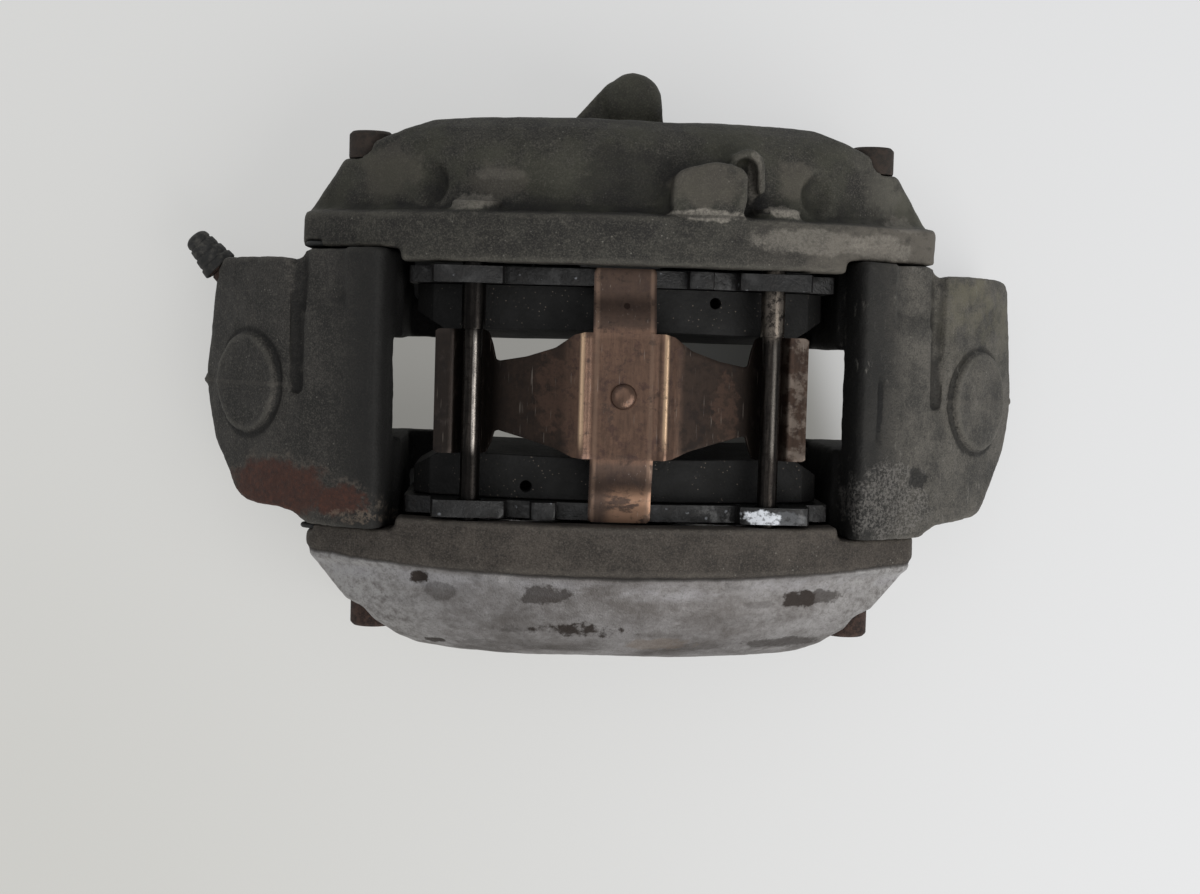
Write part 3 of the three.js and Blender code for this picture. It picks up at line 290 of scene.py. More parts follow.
def solid_object(name, points, faces, angle=35.0, merge=1e-6):
    """Closed mesh object from points in metres: doubles merged, normals out, smooth up to an angle."""
    mesh = bpy.data.meshes.new(name)
    mesh.from_pydata(np.asarray(points).tolist(), [], [list(map(int, f)) for f in faces])
    work = bmesh.new()
    work.from_mesh(mesh)
    bmesh.ops.remove_doubles(work, verts=work.verts, dist=merge)
    bmesh.ops.dissolve_degenerate(work, edges=work.edges, dist=merge)
    bmesh.ops.recalc_face_normals(work, faces=work.faces)
    if work.calc_volume(signed=True) < 0:
        bmesh.ops.reverse_faces(work, faces=work.faces)
    work.to_mesh(mesh)
    work.free()
    mesh.shade_smooth()
    mesh.set_sharp_from_angle(angle=math.radians(angle))
    return linked(name, mesh)


def dress(item, material, body, slot, *nodes):
    """Gives a piece its material and its body, and hides the solids it stands for. The slot is not used."""
    item.data.materials.clear()
    item.data.materials.append(material)
    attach(item, body)
    if nodes:
        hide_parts(*nodes)
    return item


def turned(name, profile, start, along, facets=72, flats=None):
    """Profile of (radius, distance, millimetres) carried round an axis. A point stands at start plus distance
    along the axis plus radius times the turning direction; where flats is 1 the circle becomes a hexagon."""
    profile = np.asarray(profile, float)
    along = np.asarray(along, float) / np.linalg.norm(along)
    side = np.cross(along, (0, 0, 1) if abs(along[2]) < 0.9 else (1, 0, 0))
    side /= np.linalg.norm(side)
    up = np.cross(along, side)
    angle = np.arange(facets) * 2 * math.pi / facets
    ring = np.cos(angle)[:, None] * side + np.sin(angle)[:, None] * up
    hexagon = math.cos(math.pi / 6) / np.cos((angle + math.pi / 6) % (math.pi / 3) - math.pi / 6)
    share = np.zeros(len(profile)) if flats is None else np.asarray(flats, float)
    radius = profile[:, :1] * (1 + share[:, None] * (hexagon[None] - 1))
    points = radius[..., None] * ring[None] + profile[:, 1][:, None, None] * along
    points = np.asarray(start) + points * MM
    ring_closed = bool(np.hypot(*(profile[0] - profile[-1])) > 1e-6 and profile[0, 0] > 1e-6)
    faces = grid_faces(len(profile), facets, wrap_rows=ring_closed, wrap_columns=True)
    return solid_object(name, points.reshape(-1, 3), faces)


def merged_copy(node, flatten=True):
    """Mesh of a solid with its shared corners merged and its flat faces made whole."""
    work = bmesh.new()
    work.from_mesh(NODES[node].data)
    bmesh.ops.remove_doubles(work, verts=work.verts, dist=2e-6)
    if flatten:
        bmesh.ops.dissolve_limit(
            work, angle_limit=math.radians(0.6), use_dissolve_boundaries=False,
            verts=work.verts, edges=work.edges)
    mesh = bpy.data.meshes.new(node + "_copy")
    work.to_mesh(mesh)
    work.free()
    return mesh


def eased(name, node, width, turn=28.0):
    """A solid's shape with every corner sharper than an angle rounded by a width in millimetres."""
    mesh = merged_copy(node)
    mesh.shade_smooth()
    mesh.set_sharp_from_angle(angle=math.radians(turn + 12))
    item = linked(name, mesh)
    ease = item.modifiers.new("Eased corners", "BEVEL")
    ease.width = width * MM
    ease.segments = 3
    ease.limit_method = "ANGLE"
    ease.angle_limit = math.radians(turn)
    ease.harden_normals = False
    ease.use_clamp_overlap = True
    return item


def neighbour_mean(points, edges, count):
    """Mean of each vertex's neighbours."""
    total = np.zeros_like(points)
    for axis in range(3):
        total[:, axis] = (
            np.bincount(edges[:, 0], points[edges[:, 1], axis], len(points))
            + np.bincount(edges[:, 1], points[edges[:, 0], axis], len(points)))
    return total / count[:, None]


def read(items, key, width, kind=np.float64):
    """Values of a mesh's items, one row each."""
    out = np.empty(len(items) * width, kind)
    items.foreach_get(key, out)
    return out.reshape(-1, width)


SOFTEN = (0.6, -0.45)  # shares moved towards the neighbours' mean, in turn
SETTLE = (0.5, 0.5)    # and once more after the last turn
SKIN_ROOM = 0.6 * MM   # farthest a skin may stand outside its solid's box


def casting(name, node, voxel, soften, shape):
    """Cast skin of a solid: an even fine mesh over the merged solid, its corners softened by moving each
    vertex towards the mean of its neighbours, then raised along its normals by shape(points) millimetres."""
    rough = linked(name + "_rough", merged_copy(node, flatten=False))
    remesh = rough.modifiers.new("Even mesh", "REMESH")
    remesh.mode = "VOXEL"
    remesh.voxel_size = voxel * MM
    remesh.adaptivity = 0.0
    found = rough.evaluated_get(bpy.context.evaluated_depsgraph_get())
    mesh = bpy.data.meshes.new_from_object(found)
    bpy.data.objects.remove(rough)
    mesh.name = name
    points = read(mesh.vertices, "co", 3)
    edges = read(mesh.edges, "vertices", 2, np.int32)
    count = np.maximum(np.bincount(edges.ravel(), minlength=len(points)), 1).astype(float)
    for share in [*SOFTEN * soften, *SETTLE]:
        points += share * (neighbour_mean(points, edges, count) - points)
    mesh.vertices.foreach_set("co", points.ravel())
    mesh.update()
    normals = read(mesh.vertex_normals, "vector", 3)
    raised = shape((points - CENTRE) / MM)
    points += normals * (raised * MM)[:, None]
    low, high = (np.array(corner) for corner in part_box(node))
    points = np.clip(points, low - SKIN_ROOM, high + SKIN_ROOM)
    mesh.vertices.foreach_set("co", points.ravel())
    mesh.update()
    normals = read(mesh.vertex_normals, "vector", 3)
    bend = np.einsum("ij,ij->i", points - neighbour_mean(points, edges, count), normals) / (voxel * MM)
    wide = np.stack([bend] * 3, axis=1)
    for _ in range(3):
        wide = neighbour_mean(wide, edges, count)
    layer = mesh.attributes.new("edge", "FLOAT", "POINT")
    layer.data.foreach_set("value", np.clip(0.5 + wide[:, 0] * 5, 0, 1).astype(np.float32))
    mesh.shade_smooth()
    return linked(name, mesh)


def sheet(name, chain, half_width, thickness, across, columns=41):
    """Spring sheet: a chain of (run, height) points along it, a width across it that changes with the run,
    a top and a bottom one thickness apart along the chain's normals, and rounded edges."""
    run = np.gradient(chain, axis=0)
    run /= np.maximum(np.linalg.norm(run, axis=1, keepdims=True), 1e-9)
    normal = np.stack([-run[:, 1], run[:, 0]], axis=1)
    low, high = half_width(chain[:, 0])
    part = np.linspace(0, 1, columns)
    wide = low[:, None] * (1 - part) + high[:, None] * part
    flat = np.zeros_like(wide)
    top = np.stack([flat + chain[:, :1], wide, flat + chain[:, 1:]], axis=-1)
    drop = np.stack([flat + normal[:, :1], flat, flat + normal[:, 1:]], axis=-1)
    edge = np.zeros(columns)
    edge[[0, -1]] = 0.18 * thickness
    top_face = top - drop * edge[None, :, None]
    bottom_face = top - drop * (thickness - edge)[None, :, None]
    loop = np.concatenate([top_face, bottom_face[:, ::-1]], axis=1)
    rows, around = loop.shape[:2]
    faces = [tuple(f) for f in grid_faces(rows, around, wrap_columns=True)]
    for row in (0, rows - 1):
        base = row * around
        i = np.arange(columns - 1)
        faces += [tuple(f) for f in np.stack([
            base + i, base + i + 1, base + around - 2 - i, base + around - 1 - i], axis=1)]
    points = loop if across == "y" else loop[..., [1, 0, 2]]
    return solid_object(name, placed(points.reshape(-1, 3)), faces, angle=40)


# ---- Finishes ----


def casting_coat(name, dark, light, dust, size=14.0, gloss=0.62):
    """Dirty cast metal: cloudy dark and light grey, fine sand grain, dust in specks, painted shade in the
    hollows, worn edges.
    """
    f = Finish(name)
    cloud = f.noise(size, 6, 0.66)
    fine = f.noise(1.6, 4, 0.65)
    grain = f.noise(0.6, 2, 0.6)
    edge = f.attribute("edge")
    f.base = f.blend(cloud.band(0.36, 0.64), dark, light)
    f.paint(grain.band(0.5, 0.68) * 0.3 + fine.band(0.52, 0.68) * 0.24, dust)
    f.paint((1 - grain.band(0.34, 0.5)) * 0.4 + (1 - fine.band(0.34, 0.48)) * 0.3, (16, 15, 13))
    specks = f.cells(2.6, 3.0)
    chance = f.noise(9, 2, 0.5, 5.1)
    f.paint((1 - specks.band(0.08, 0.15)) * chance.band(0.5, 0.62) * 0.55, (140, 137, 128))
    # Painted shade: darker in the hollows, where the edge attribute is low.
    f.paint((1 - edge).band(0.56, 0.8) * 0.7, (14, 13, 11))
    f.paint(edge.band(0.62, 0.9) * 0.25, dust)
    height = grain * 0.5 + fine * 0.5 + cloud * 0.3
    rough = gloss + fine * 0.25
    return f, rough, height


def inboard_coat(colours):
    """Inboard housing: greasy dark casting, pale corrosion at the pin bores, the cast pad and the rim."""
    f, rough, height = casting_coat(
        "inboard casting", colours.grime[:], colours.grime_light[:], colour(118, 114, 104))
    rim = 1 - f.y.band(62.6, 63.6)
    # Paler to the right in cloudy patches, on the rim and past it: partly the casting's own paler tone,
    # partly painted light falling from the right.
    right = f.x.band(28, 96) * 0.75
    f.paint(right * rim * f.noise(20, 5, 0.65, 2.2).band(0.32, 0.58), (112, 106, 97))
    body_right = f.x.band(70, 112) * (1 - rim)
    f.paint(body_right * f.noise(16, 5, 0.65, 4.7).band(0.36, 0.62) * 0.75, (112, 109, 99))
    green = f.noise(26, 4, 0.6, 8.0).band(0.42, 0.62) * (1 - rim)
    f.paint(green * 0.45, (76, 76, 62))
    # Darker spots; the first, beside the left pin bore, is painted shade in a hollow.
    f.spots((((-68, 73, 92), (9, 8, 12), 0.7), ((0, 76, 96), (20, 14, 16), 0.5),
             ((-36, 67, 100), (22, 4, 12), 0.45), ((50, 68, 96), (8, 3.4, 10), 0.85),
             ((84, 70, 84), (12, 7, 14), 0.45), ((0, 97, 74), (34, 5, 12), 0.35)), 0.25, 9.0, (20, 18, 15))
    f.spots((((27, 74, 101), (15, 10, 12), 0.4), ((-88, 78, 78), (16, 12, 18), 0.3),
             ((-50, 74, 94), (17, 9, 12), 0.3), ((62, 80, 90), (10, 10, 12), 0.4)), 0.3, 8.0, (104, 98, 88))
    flake = f.noise(1.2, 5, 0.8, 3.3).band(0.4, 0.6)
    for centre, reach, share in (
            ((-56, 67, 93), (11, 4.2, 12), 0.45), ((57, 66.5, 93), (9, 3.2, 12), 0.8),
            ((27, 63.6, 101), (15, 2.6, 9), 0.9), ((66, 56, 95), (26, 5, 20), 0.5),
            ((96, 55, 84), (16, 6, 14), 0.6), ((-48, 77, 92), (12, 3, 8), 0.16),
            ((104, 66, 74), (9, 5, 20), 0.5), ((44.5, 78, 96), (2.6, 11, 12), 0.45),
            ((64, 76, 92), (5, 6, 9), 0.6)):
        white = f.spot(centre, reach, 0.3, 4.0)
        f.paint(white * (flake * 0.55 + 0.45) * share, (150, 144, 134))
    streak = f.noise(2.2, 4, 0.65, 1.0, (5, 1, 1)).band(0.52, 0.7) * rim
    f.paint(streak * 0.35, (30, 28, 25))
    line = (f.y - RIM_Y + (f.noise(9, 3, 0.5) - 0.5)).near(0.2, 0.9)
    f.paint(line * 0.5 * f.z.band(70, 80), (22, 20, 18))
    return f.done(rough, 0.15, height, 0.55)


def outboard_coat(colours):
    """Outboard housing: brown-grey rim, bare oxidised face past the parting line, dark stains on it."""
    f, rough, height = casting_coat(
        "outboard casting", colour(56, 50, 44), colour(76, 69, 62), colour(112, 106, 98))
    parting = f.y + PARTING_Y - f.x * f.x * PARTING_BOW + (f.noise(7, 3, 0.5) - 0.5) * 1.2
    bare = 1 - parting.band(-0.6, 0.4)
    patch = f.noise(16, 6, 0.68, 4.4, (1.6, 1, 1))
    crisp = f.noise(3.2, 5, 0.7, 6.1)
    share = (patch.band(0.36, 0.62) * 0.7 + crisp.band(0.4, 0.7) * 0.3).held()
    metal = f.blend(share, colours.bare_dark[:], colours.bare_light[:])
    # Paler crisp metal towards both ends, most on the right: partly paler metal, partly painted light falling
    # from the right.
    bright = f.x.band(20, 112) * 0.45 + f.x.band(84, 112) * 0.35 + (f.x * -1).band(50, 92) * 0.65
    metal = f.blend((bright * crisp.band(0.3, 0.6)).held(), metal, (184, 182, 180))
    top = (parting + 4.5).near(1.5, 4.5)
    metal = f.blend(
        top * f.noise(11, 5, 0.65, 9.3, (2.5, 1, 1)).band(0.4, 0.62) * 0.55, metal, (176, 174, 176))
    metal = f.blend(f.noise(0.9, 3, 0.7, 1.9).band(0.5, 0.68) * 0.35, metal, (76, 71, 66))
    low = (f.y * -1).band(82, 96)
    metal = f.blend(
        low * f.noise(9, 4, 0.6, 7.7, (3, 1, 1)).band(0.42, 0.66) * 0.75, metal, (58, 51, 46))
    for centre, reach, share in (
            ((-26, -70.4, 96), (10, 3.6, 14), 0.75), ((-12, -83, 88), (20, 3.8, 12), 1.0),
            ((-34, -84, 86), (9, 2.2, 10), 0.5), ((66, -71.6, 88), (8, 3.2, 12), 1.0),
            ((75, -71, 84), (7, 2.8, 12), 0.7), ((62, -88.6, 78), (20, 2.4, 10), 0.7),
            ((-64, -91.3, 76), (4.5, 1.1, 9), 1.0), ((-70, -66.8, 92), (4.5, 2.4, 9), 1.0),
            ((-62, -71, 90), (7, 4, 10), 0.45), ((-30, -91, 78), (30, 2.2, 10), 0.35),
            ((22, -92, 78), (26, 2.4, 12), 0.3), ((50, -73, 90), (9, 1.6, 9), 0.3)):
        stain = f.spot(centre, reach, 0.5, 5.0)
        metal = f.blend(stain * share, metal, (50, 42, 37))
    f.paint(bare, metal)
    f.paint(parting.near(0.25, 1.0) * 0.55, (40, 36, 33))
    ochre = f.spot((14, -88, 86), (16, 3.5, 9), 0.4, 5.0)
    f.paint(ochre * 0.4, (120, 103, 86))
    return f.done(rough - bare * 0.14, bare * 0.35 + 0.1, height + patch * 0.3 * bare, 0.45)


def bridge_coat(colours, side):
    """Bridge: dark cast skin with dust; rust on the left one, pale scuffs on the right one."""
    # The left bridge's darker skin is painted shade and the right one's paler skin painted light: one cast
    # iron, lit from the right.
    dark = colours.shaded_skin[:] if side < 0 else colours.lit_skin[:]
    pale = colour(62, 59, 55) if side < 0 else colour(98, 94, 87)
    f, rough, height = casting_coat(
        "bridge casting " + ("left" if side < 0 else "right"), dark, pale, colour(120, 116, 107), 18.0, 0.6)
    away = f.x.size()
    # Painted shade: near black on the bridges' inner walls that face the pads, inside 90 to 110 mm of the
    # middle.
    f.paint((1 - away.band(90, 110)) * 0.85, (24, 23, 21))
    f.paint((1 - away.band(82.5, 90)) * 0.9, (10, 9, 8))
    if side > 0:
        top = f.y.band(5, 46) * away.band(112, 126)
        f.paint(top * f.noise(12, 5, 0.65, 9.9).band(0.38, 0.62) * 0.6, (116, 111, 92))
        scuff = f.noise(2.6, 6, 0.78, 5.0, (1, 3.2, 2)).band(0.57, 0.68)
        f.paint(scuff * f.noise(24, 3, 0.6, 6.3).band(0.4, 0.6) * 0.4, (150, 146, 138))
        low = f.spot((100, -36, 82), (20, 16, 26), 0.4, 7.0)
        f.paint(low * f.noise(1.2, 4, 0.7).band(0.42, 0.6) * 0.55, (128, 124, 119))
        gouge = f.spot((93.4, -1, 86), (1.3, 12, 14), 0.3, 3.0)
        f.paint(gouge * 0.85, (14, 13, 12))
        f.paint(f.spot((110, -28, 74), (5, 4, 12), 0.4, 4.0) * 0.8, (18, 17, 15))
    else:
        patch = f.spot((-122, -38, 56), (24, 11.5, 40), 0.3, 9.0).most(
            f.spot((-99, -41, 72), (13, 6.5, 30), 0.4, 6.0))
        wide = f.spot((-122, -37, 56), (26.5, 14, 44), 0.3, 9.0).most(
            f.spot((-98, -40.5, 72), (15.5, 8.5, 32), 0.4, 6.0))
        flake = f.noise(1.8, 5, 0.75, 2.7)
        f.paint((wide - patch).held() * flake.band(0.42, 0.58) * 0.5, (112, 102, 92))
        f.paint(patch, colours.rust[:])
        f.paint(patch * flake.band(0.48, 0.64) * 0.55, (98, 58, 42))
        f.paint(patch * (1 - flake.band(0.36, 0.46)) * 0.5, (38, 29, 26))
        glow = f.spot((-92, -46, 76), (12, 3.2, 20), 0.45, 4.0)
        f.paint(glow * flake.band(0.42, 0.6) * 0.6, (120, 106, 92))
    line = (f.y + (f.noise(14, 2, 0.5) - 0.5) * 2).near(0.3, 1.1) * away.band(118, 128)
    f.paint(line * 0.25, (92, 87, 80))
    return f.done(rough, 0.12, height, 0.65)


def rusty_coat(colours):
    """Bolts and bleeder: brown rust over steel, darker in blotches."""
    f = Finish("rusty steel")
    blot = f.noise(3.2, 6, 0.7)
    fine = f.noise(0.7, 4, 0.7, 1.4)
    f.base = f.blend(blot.band(0.38, 0.62), (40, 31, 28), colours.bolt_rust[:])
    f.paint(fine.band(0.5, 0.75) * 0.5, (112, 84, 70))
    f.paint(f.y.band(60, 70) * 0.6, (52, 50, 45))
    return f.done(0.75 + fine * 0.2, 0.2, blot * 0.7 + fine * 0.4, 0.35)


def pin_coat(colours):
    """Pad pins and sleeves: ground steel, smoked dark, bright where it rubs, dark grime near the pads,
    painted highlight lines along the pins.
    """
    f = Finish("pin steel")
    along = f.noise(1.3, 4, 0.6, stretch=(0.6, 7, 0.6))
    spots = f.noise(2.2, 5, 0.75, 2.0)
    f.base = f.blend(along.band(0.35, 0.7), colours.pin_dark[:], (60, 55, 51))
    f.paint(spots.band(0.5, 0.62) * 0.7, (28, 24, 22))
    between = f.y.near(17, 23)
    f.paint((1 - f.x.band(-5, 5)) * (1 - between) * 0.7, (18, 16, 15))
    # Painted highlights: a bright line along the left pin and a fainter one along the right pin, between the
    # pads.
    line = (f.x + 52.2).near(0.25, 0.9)
    f.paint(line * between * (along.band(0.3, 0.6) * 0.5 + 0.4), (196, 188, 180))
    f.paint((f.x - 53.8).near(0.3, 1.1) * between * 0.3, (150, 144, 137))
    rubbed = f.x.band(-5, 5) * f.y.band(19, 24) * spots.band(0.36, 0.56)
    f.paint(rubbed * 0.5, (146, 136, 125))
    f.paint(f.y.size().band(34, 40) * 0.7, (16, 15, 14))
    return f.done(spots * 0.3 + 0.1 + along * 0.1, 0.9, along * 0.3 + spots * 0.6, 0.1)


def plate_coat(colours):
    """Backing plates and shims: black paint, wet with oil, chipped to brown, a painted highlight patch and
    painted glints.
    """
    f = Finish("plate paint")
    wet = f.noise(6, 5, 0.65)
    fine = f.noise(1.2, 4, 0.7, 2.6)
    drops = f.noise(1.6, 3, 0.6, 7.0)
    f.base = f.blend(fine.band(0.42, 0.62) * 0.4, colours.plate[:], (20, 18, 17))
    f.paint(wet.band(0.56, 0.66) * 0.4, (34, 30, 28))
    # Painted highlight: a near-white patch of reflected light on the outboard plate's right end.
    crisp = f.spot((51, -42.5, 97), (6.8, 3.6, 6), 0.4, 3.0).most(
        f.spot((59, -42.3, 97), (8, 3, 6), 0.3, 3.0) * 0.1)
    f.paint(crisp * (drops.band(0.34, 0.5) * 0.7 + 0.3), (226, 230, 236))
    glint = f.cells(4.2, 2.0).band(0.1, 0.2)
    f.paint((1 - glint) * wet.band(0.52, 0.6) * 0.8, (150, 153, 158))
    height = fine * 0.5 + wet * 0.7 + drops * 0.5
    return f.done(wet * 0.35 + fine * 0.15 + 0.2, 0.1, height, 0.5, coat=(1 - wet).band(0.46, 0.66) * 0.45)


def lining_coat(colours):
    """Friction lining: dark compound with pale and brassy crumbs."""
    f = Finish("friction lining")
    crumb = f.cells(1.5)
    fine = f.noise(0.8, 4, 0.7)
    f.base = f.blend(fine.band(0.35, 0.65), (7, 7, 6), colours.lining[:])
    chance = f.noise(6, 3, 0.6, 2.2).band(0.48, 0.6)
    f.paint((1 - crumb.band(0.1, 0.2)) * chance * 0.8, (116, 106, 96))
    wet = f.noise(9, 3, 0.6, 4.0)
    return f.done(0.6 + wet * 0.35, 0.0, crumb * 0.4 + fine * 0.5, 0.4)


def spring_coat(colours):
    """Hold-down spring: heat-coloured steel, coppery on the crown, sooty on the wings, worn at the ends,
    painted shade round the pins, painted highlights on the ribs.
    """
    f = Finish("spring steel")
    brush = f.noise(1.8, 6, 0.7, 0.7, (0.6, 6, 1))
    blot = f.noise(8, 6, 0.7, 3.1)
    soot = f.noise(4.5, 6, 0.72, 6.6)
    away = f.x.size()
    share = (brush.band(0.2, 0.8) * 0.45 + blot.band(0.3, 0.7) * 0.55).held()
    f.base = f.blend(share, colours.bronze_dark[:], colours.bronze[:])
    f.paint(blot.band(0.46, 0.6) * 0.5, (70, 57, 52))
    bloom = f.noise(6, 5, 0.7, 9.4).band(0.52, 0.66)
    f.paint(bloom * 0.45, (58, 45, 50))
    wing = away.band(17, 22) * (1 - away.band(54, 58))
    f.paint(wing * 0.85, (40, 35, 32))
    # Painted shade: near black where the leaf dives down beside the pins.
    f.paint(wing * away.band(38, 46) * 0.6, (20, 18, 17))
    f.paint(wing * soot.band(0.44, 0.66) * 0.45, (22, 20, 18))
    warm = f.spot((-23, 0, 97), (10, 16, 16), 0.5, 8.0).most(
        f.spot((37, -4, 96), (5, 12, 14), 0.5, 3.5) * 0.8)
    f.paint(warm * soot.band(0.36, 0.6) * 0.4, (112, 86, 73))
    # Painted shade: the ends round the pins darker, where the leaf passes under them, the left end most.
    ends = away.band(50, 56)
    left = 1 - f.x.band(-10, 10)
    f.paint(ends * (left * 0.3 + 0.62), (30, 29, 28))
    tee = f.x.band(56, 60) * f.noise(7, 5, 0.7, 5.6).band(0.44, 0.6)
    f.paint(tee * 0.75, (134, 122, 112))
    worn = f.y.size().band(22.5, 25) * (1 - away.band(11, 14))
    f.paint(worn * 0.7, (66, 56, 51))
    # Painted shade: a dark dot in the small dimple at the strip's upper end.
    f.paint(f.spot((0.6, 31.6, 100), (1.3, 1.3, 8), 0.2, 2.0) * 0.8, (40, 28, 24))
    bare = (f.y * -1).band(30, 36) * (1 - away.band(11, 14)) * f.x.band(-7, -1)
    f.paint(bare * f.noise(6, 5, 0.7, 1.0, (2, 1, 1)).band(0.42, 0.52), (140, 110, 90))
    # Painted highlight: bright lines along the ribs beside the raised middle.
    f.paint((away - 14.7).near(0.2, 1.3) * f.y.band(-21, -12) * 0.75, (214, 182, 150))
    f.paint((away - 9.6).near(0.2, 1.2) * 0.35 * (1 - wing), (150, 124, 106))
    scratch = f.noise(0.5, 2, 0.5, 8.8, (1, 22, 1)).band(0.68, 0.76)
    f.paint(scratch * 0.4, (170, 160, 150))
    grime = soot.band(0.54, 0.66) * 0.55
    f.paint(grime, (40, 31, 27))
    rough = brush * 0.16 + 0.24 + wing * 0.2 + grime * 0.3
    return f.done(rough, 0.85 - grime * 0.4, brush * 0.4 + soot * 0.5, 0.07)


def rubber_coat(colours):
    """Bleeder cap: aged grey-black rubber, dust in the valleys."""
    f = Finish("cap rubber")
    dust = f.noise(2.4, 5, 0.7)
    fine = f.noise(0.5, 3, 0.6, 3.0)
    f.base = f.blend(dust.band(0.42, 0.68), colours.rubber[:], (78, 76, 71))
    f.paint((1 - f.y.band(40, 52)) * 0.55, (20, 19, 18))
    return f.done(0.6 + dust * 0.25, 0.0, dust * 0.4 + fine * 0.4, 0.15)


def seal_coat(colours):
    """Seals, boots and O-rings: plain black rubber, faintly mottled."""
    f = Finish("seal rubber")
    dust = f.noise(3.0, 4, 0.6)
    f.base = f.blend(dust.band(0.5, 0.75) * 0.5, colours.rubber[:], (52, 48, 44))
    return f.done(0.5 + dust * 0.3, 0.0, dust, 0.15)


def piston_coat(colours):
    """Pistons: plated steel with a brown film near the pads."""
    f = Finish("piston plating")
    film = f.noise(5, 5, 0.65)
    line = f.noise(0.8, 3, 0.6, 2.0, (1, 0.3, 1))
    f.base = f.blend(film.band(0.5, 0.72) * 0.6, (178, 176, 174), (86, 70, 58))
    return f.done(0.16 + film * 0.3, 0.95, line, 0.03)


COATS = {}


def coat(kind, *more):
    """The finish of a kind, made once."""
    key = (kind, *more)
    if key not in COATS:
        COATS[key] = kind(bpy.context.scene.caliper_colours, *more)
    return COATS[key]


# ---- Sizes and colours a user would change ----


def length(name, default, description):
    return bpy.props.FloatProperty(
        name=name, default=default, min=0.0, precision=5, unit="LENGTH", description=description)


def tint(name, default, description):
    return bpy.props.FloatVectorProperty(
        name=name, default=colour(*default), size=4, subtype="COLOR", min=0.0, max=1.0,
        description=description)


class CastingSizes(bpy.types.PropertyGroup):
    voxel: length("Mesh size", 1.15 * MM, "Size of the even mesh over the castings")
    grain: length("Grain height", 0.1 * MM, "Height of the sand grain")
    wave: length("Waviness", 0.4 * MM, "Height of the slow unevenness of the cast skin")
    mould_line: length("Mould line", 0.5 * MM, "Height of the line where the mould halves met")


class HardwareSizes(bpy.types.PropertyGroup):
    bolt_chamfer: length("Bolt chamfer", 1.2 * MM, "Chamfer round a bolt's head")
    pin_chamfer: length("Pin chamfer", 0.8 * MM, "Chamfer at a pad pin's ends")
    plate_ease: length("Plate corner", 0.6 * MM, "Rounding of the backing plates' corners")
    lining_ease: length("Lining corner", 0.5 * MM, "Rounding of the linings' corners")


class SpringSizes(bpy.types.PropertyGroup):
    thickness: length("Sheet", 0.9 * MM, "Thickness of the spring's sheet")
    crown_half: length("Crown half length", 16 * MM, "Half length of the leaf's raised middle")
    rib: length("Rib height", 1.0 * MM, "Height of the folds beside the raised middle")


class CapSizes(bpy.types.PropertyGroup):
    ribs: bpy.props.IntProperty(
        name="Ribs", default=3, min=2, max=8, description="Ribs round the bleeder's cap")
    rib_depth: length("Rib depth", 0.55 * MM, "Depth of the valleys between the ribs")


class CaliperColours(bpy.types.PropertyGroup):
    grime: tint("Grime", (42, 40, 37), "Darker grey of the inboard housing")
    grime_light: tint("Light grime", (64, 62, 56), "Lighter grey of the inboard housing")
    bare_dark: tint("Bare metal, dark", (106, 101, 98), "Duller patches of the outboard housing")
    bare_light: tint("Bare metal, light", (152, 149, 148), "Paler patches of the outboard housing")
    # Left and right skins are one cast iron, the left in painted shade, the right in painted light.
    shaded_skin: tint("Left bridge", (40, 38, 35), "Skin of the left bridge")
    lit_skin: tint("Right bridge", (60, 58, 54), "Skin of the right bridge")
    rust: tint("Rust", (70, 43, 34), "Rust patch of the left bridge")
    bolt_rust: tint("Bolt rust", (78, 60, 52), "Rust on the bolts and the bleeder")
    pin_dark: tint("Pin steel", (36, 33, 31), "Smoked steel of the pins")
    plate: tint("Plate paint", (8, 7, 7), "Paint of the backing plates")
    lining: tint("Lining", (15, 14, 13), "Friction compound")
    bronze: tint("Spring, light", (138, 108, 90), "Heat colour of the spring's crown")
    bronze_dark: tint("Spring, dark", (84, 68, 60), "Darker streaks of the spring")
    rubber: tint("Rubber", (38, 38, 37), "Rubber of the cap and the seals")


class StageSettings(bpy.types.PropertyGroup):
    floor: tint("Floor", (130, 130, 129), "Floor and backdrop")
    room_left: tint("Glow, left", (175, 174, 169), "Light up through the floor on the left")
    room_right: tint("Glow, right", (205, 206, 209), "Light up through the floor on the right")
    glow_left: tint("Opening, dark", (128, 127, 123), "Floor seen in the openings where it is darkest")
    glow_right: tint("Opening, light", (192, 192, 191), "Floor seen in the openings where it is palest")
    window: bpy.props.FloatProperty(name="Window", default=12.5, min=0.0, unit="POWER",
                                    description="Power of the large soft light")
    sky: bpy.props.FloatProperty(
        name="Room light", default=0.34, min=0.0, description="Strength of the even light")


# ---- Pieces ----


def about_centre(node, corner):
    """A corner of a solid's box, 0 low or 1 high, in millimetres about the caliper's centre."""
    return (np.array(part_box(node)[corner]) - CENTRE) / MM


def foot_of(node, way=1):
    """Middle of a solid's low end along Y, or of its high end where way is -1."""
    start = middle(node)
    start[1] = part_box(node)[0 if way > 0 else 1].y
    return start


def span(node):
    """Size of a solid's box in millimetres."""
    return about_centre(node, 1) - about_centre(node, 0)


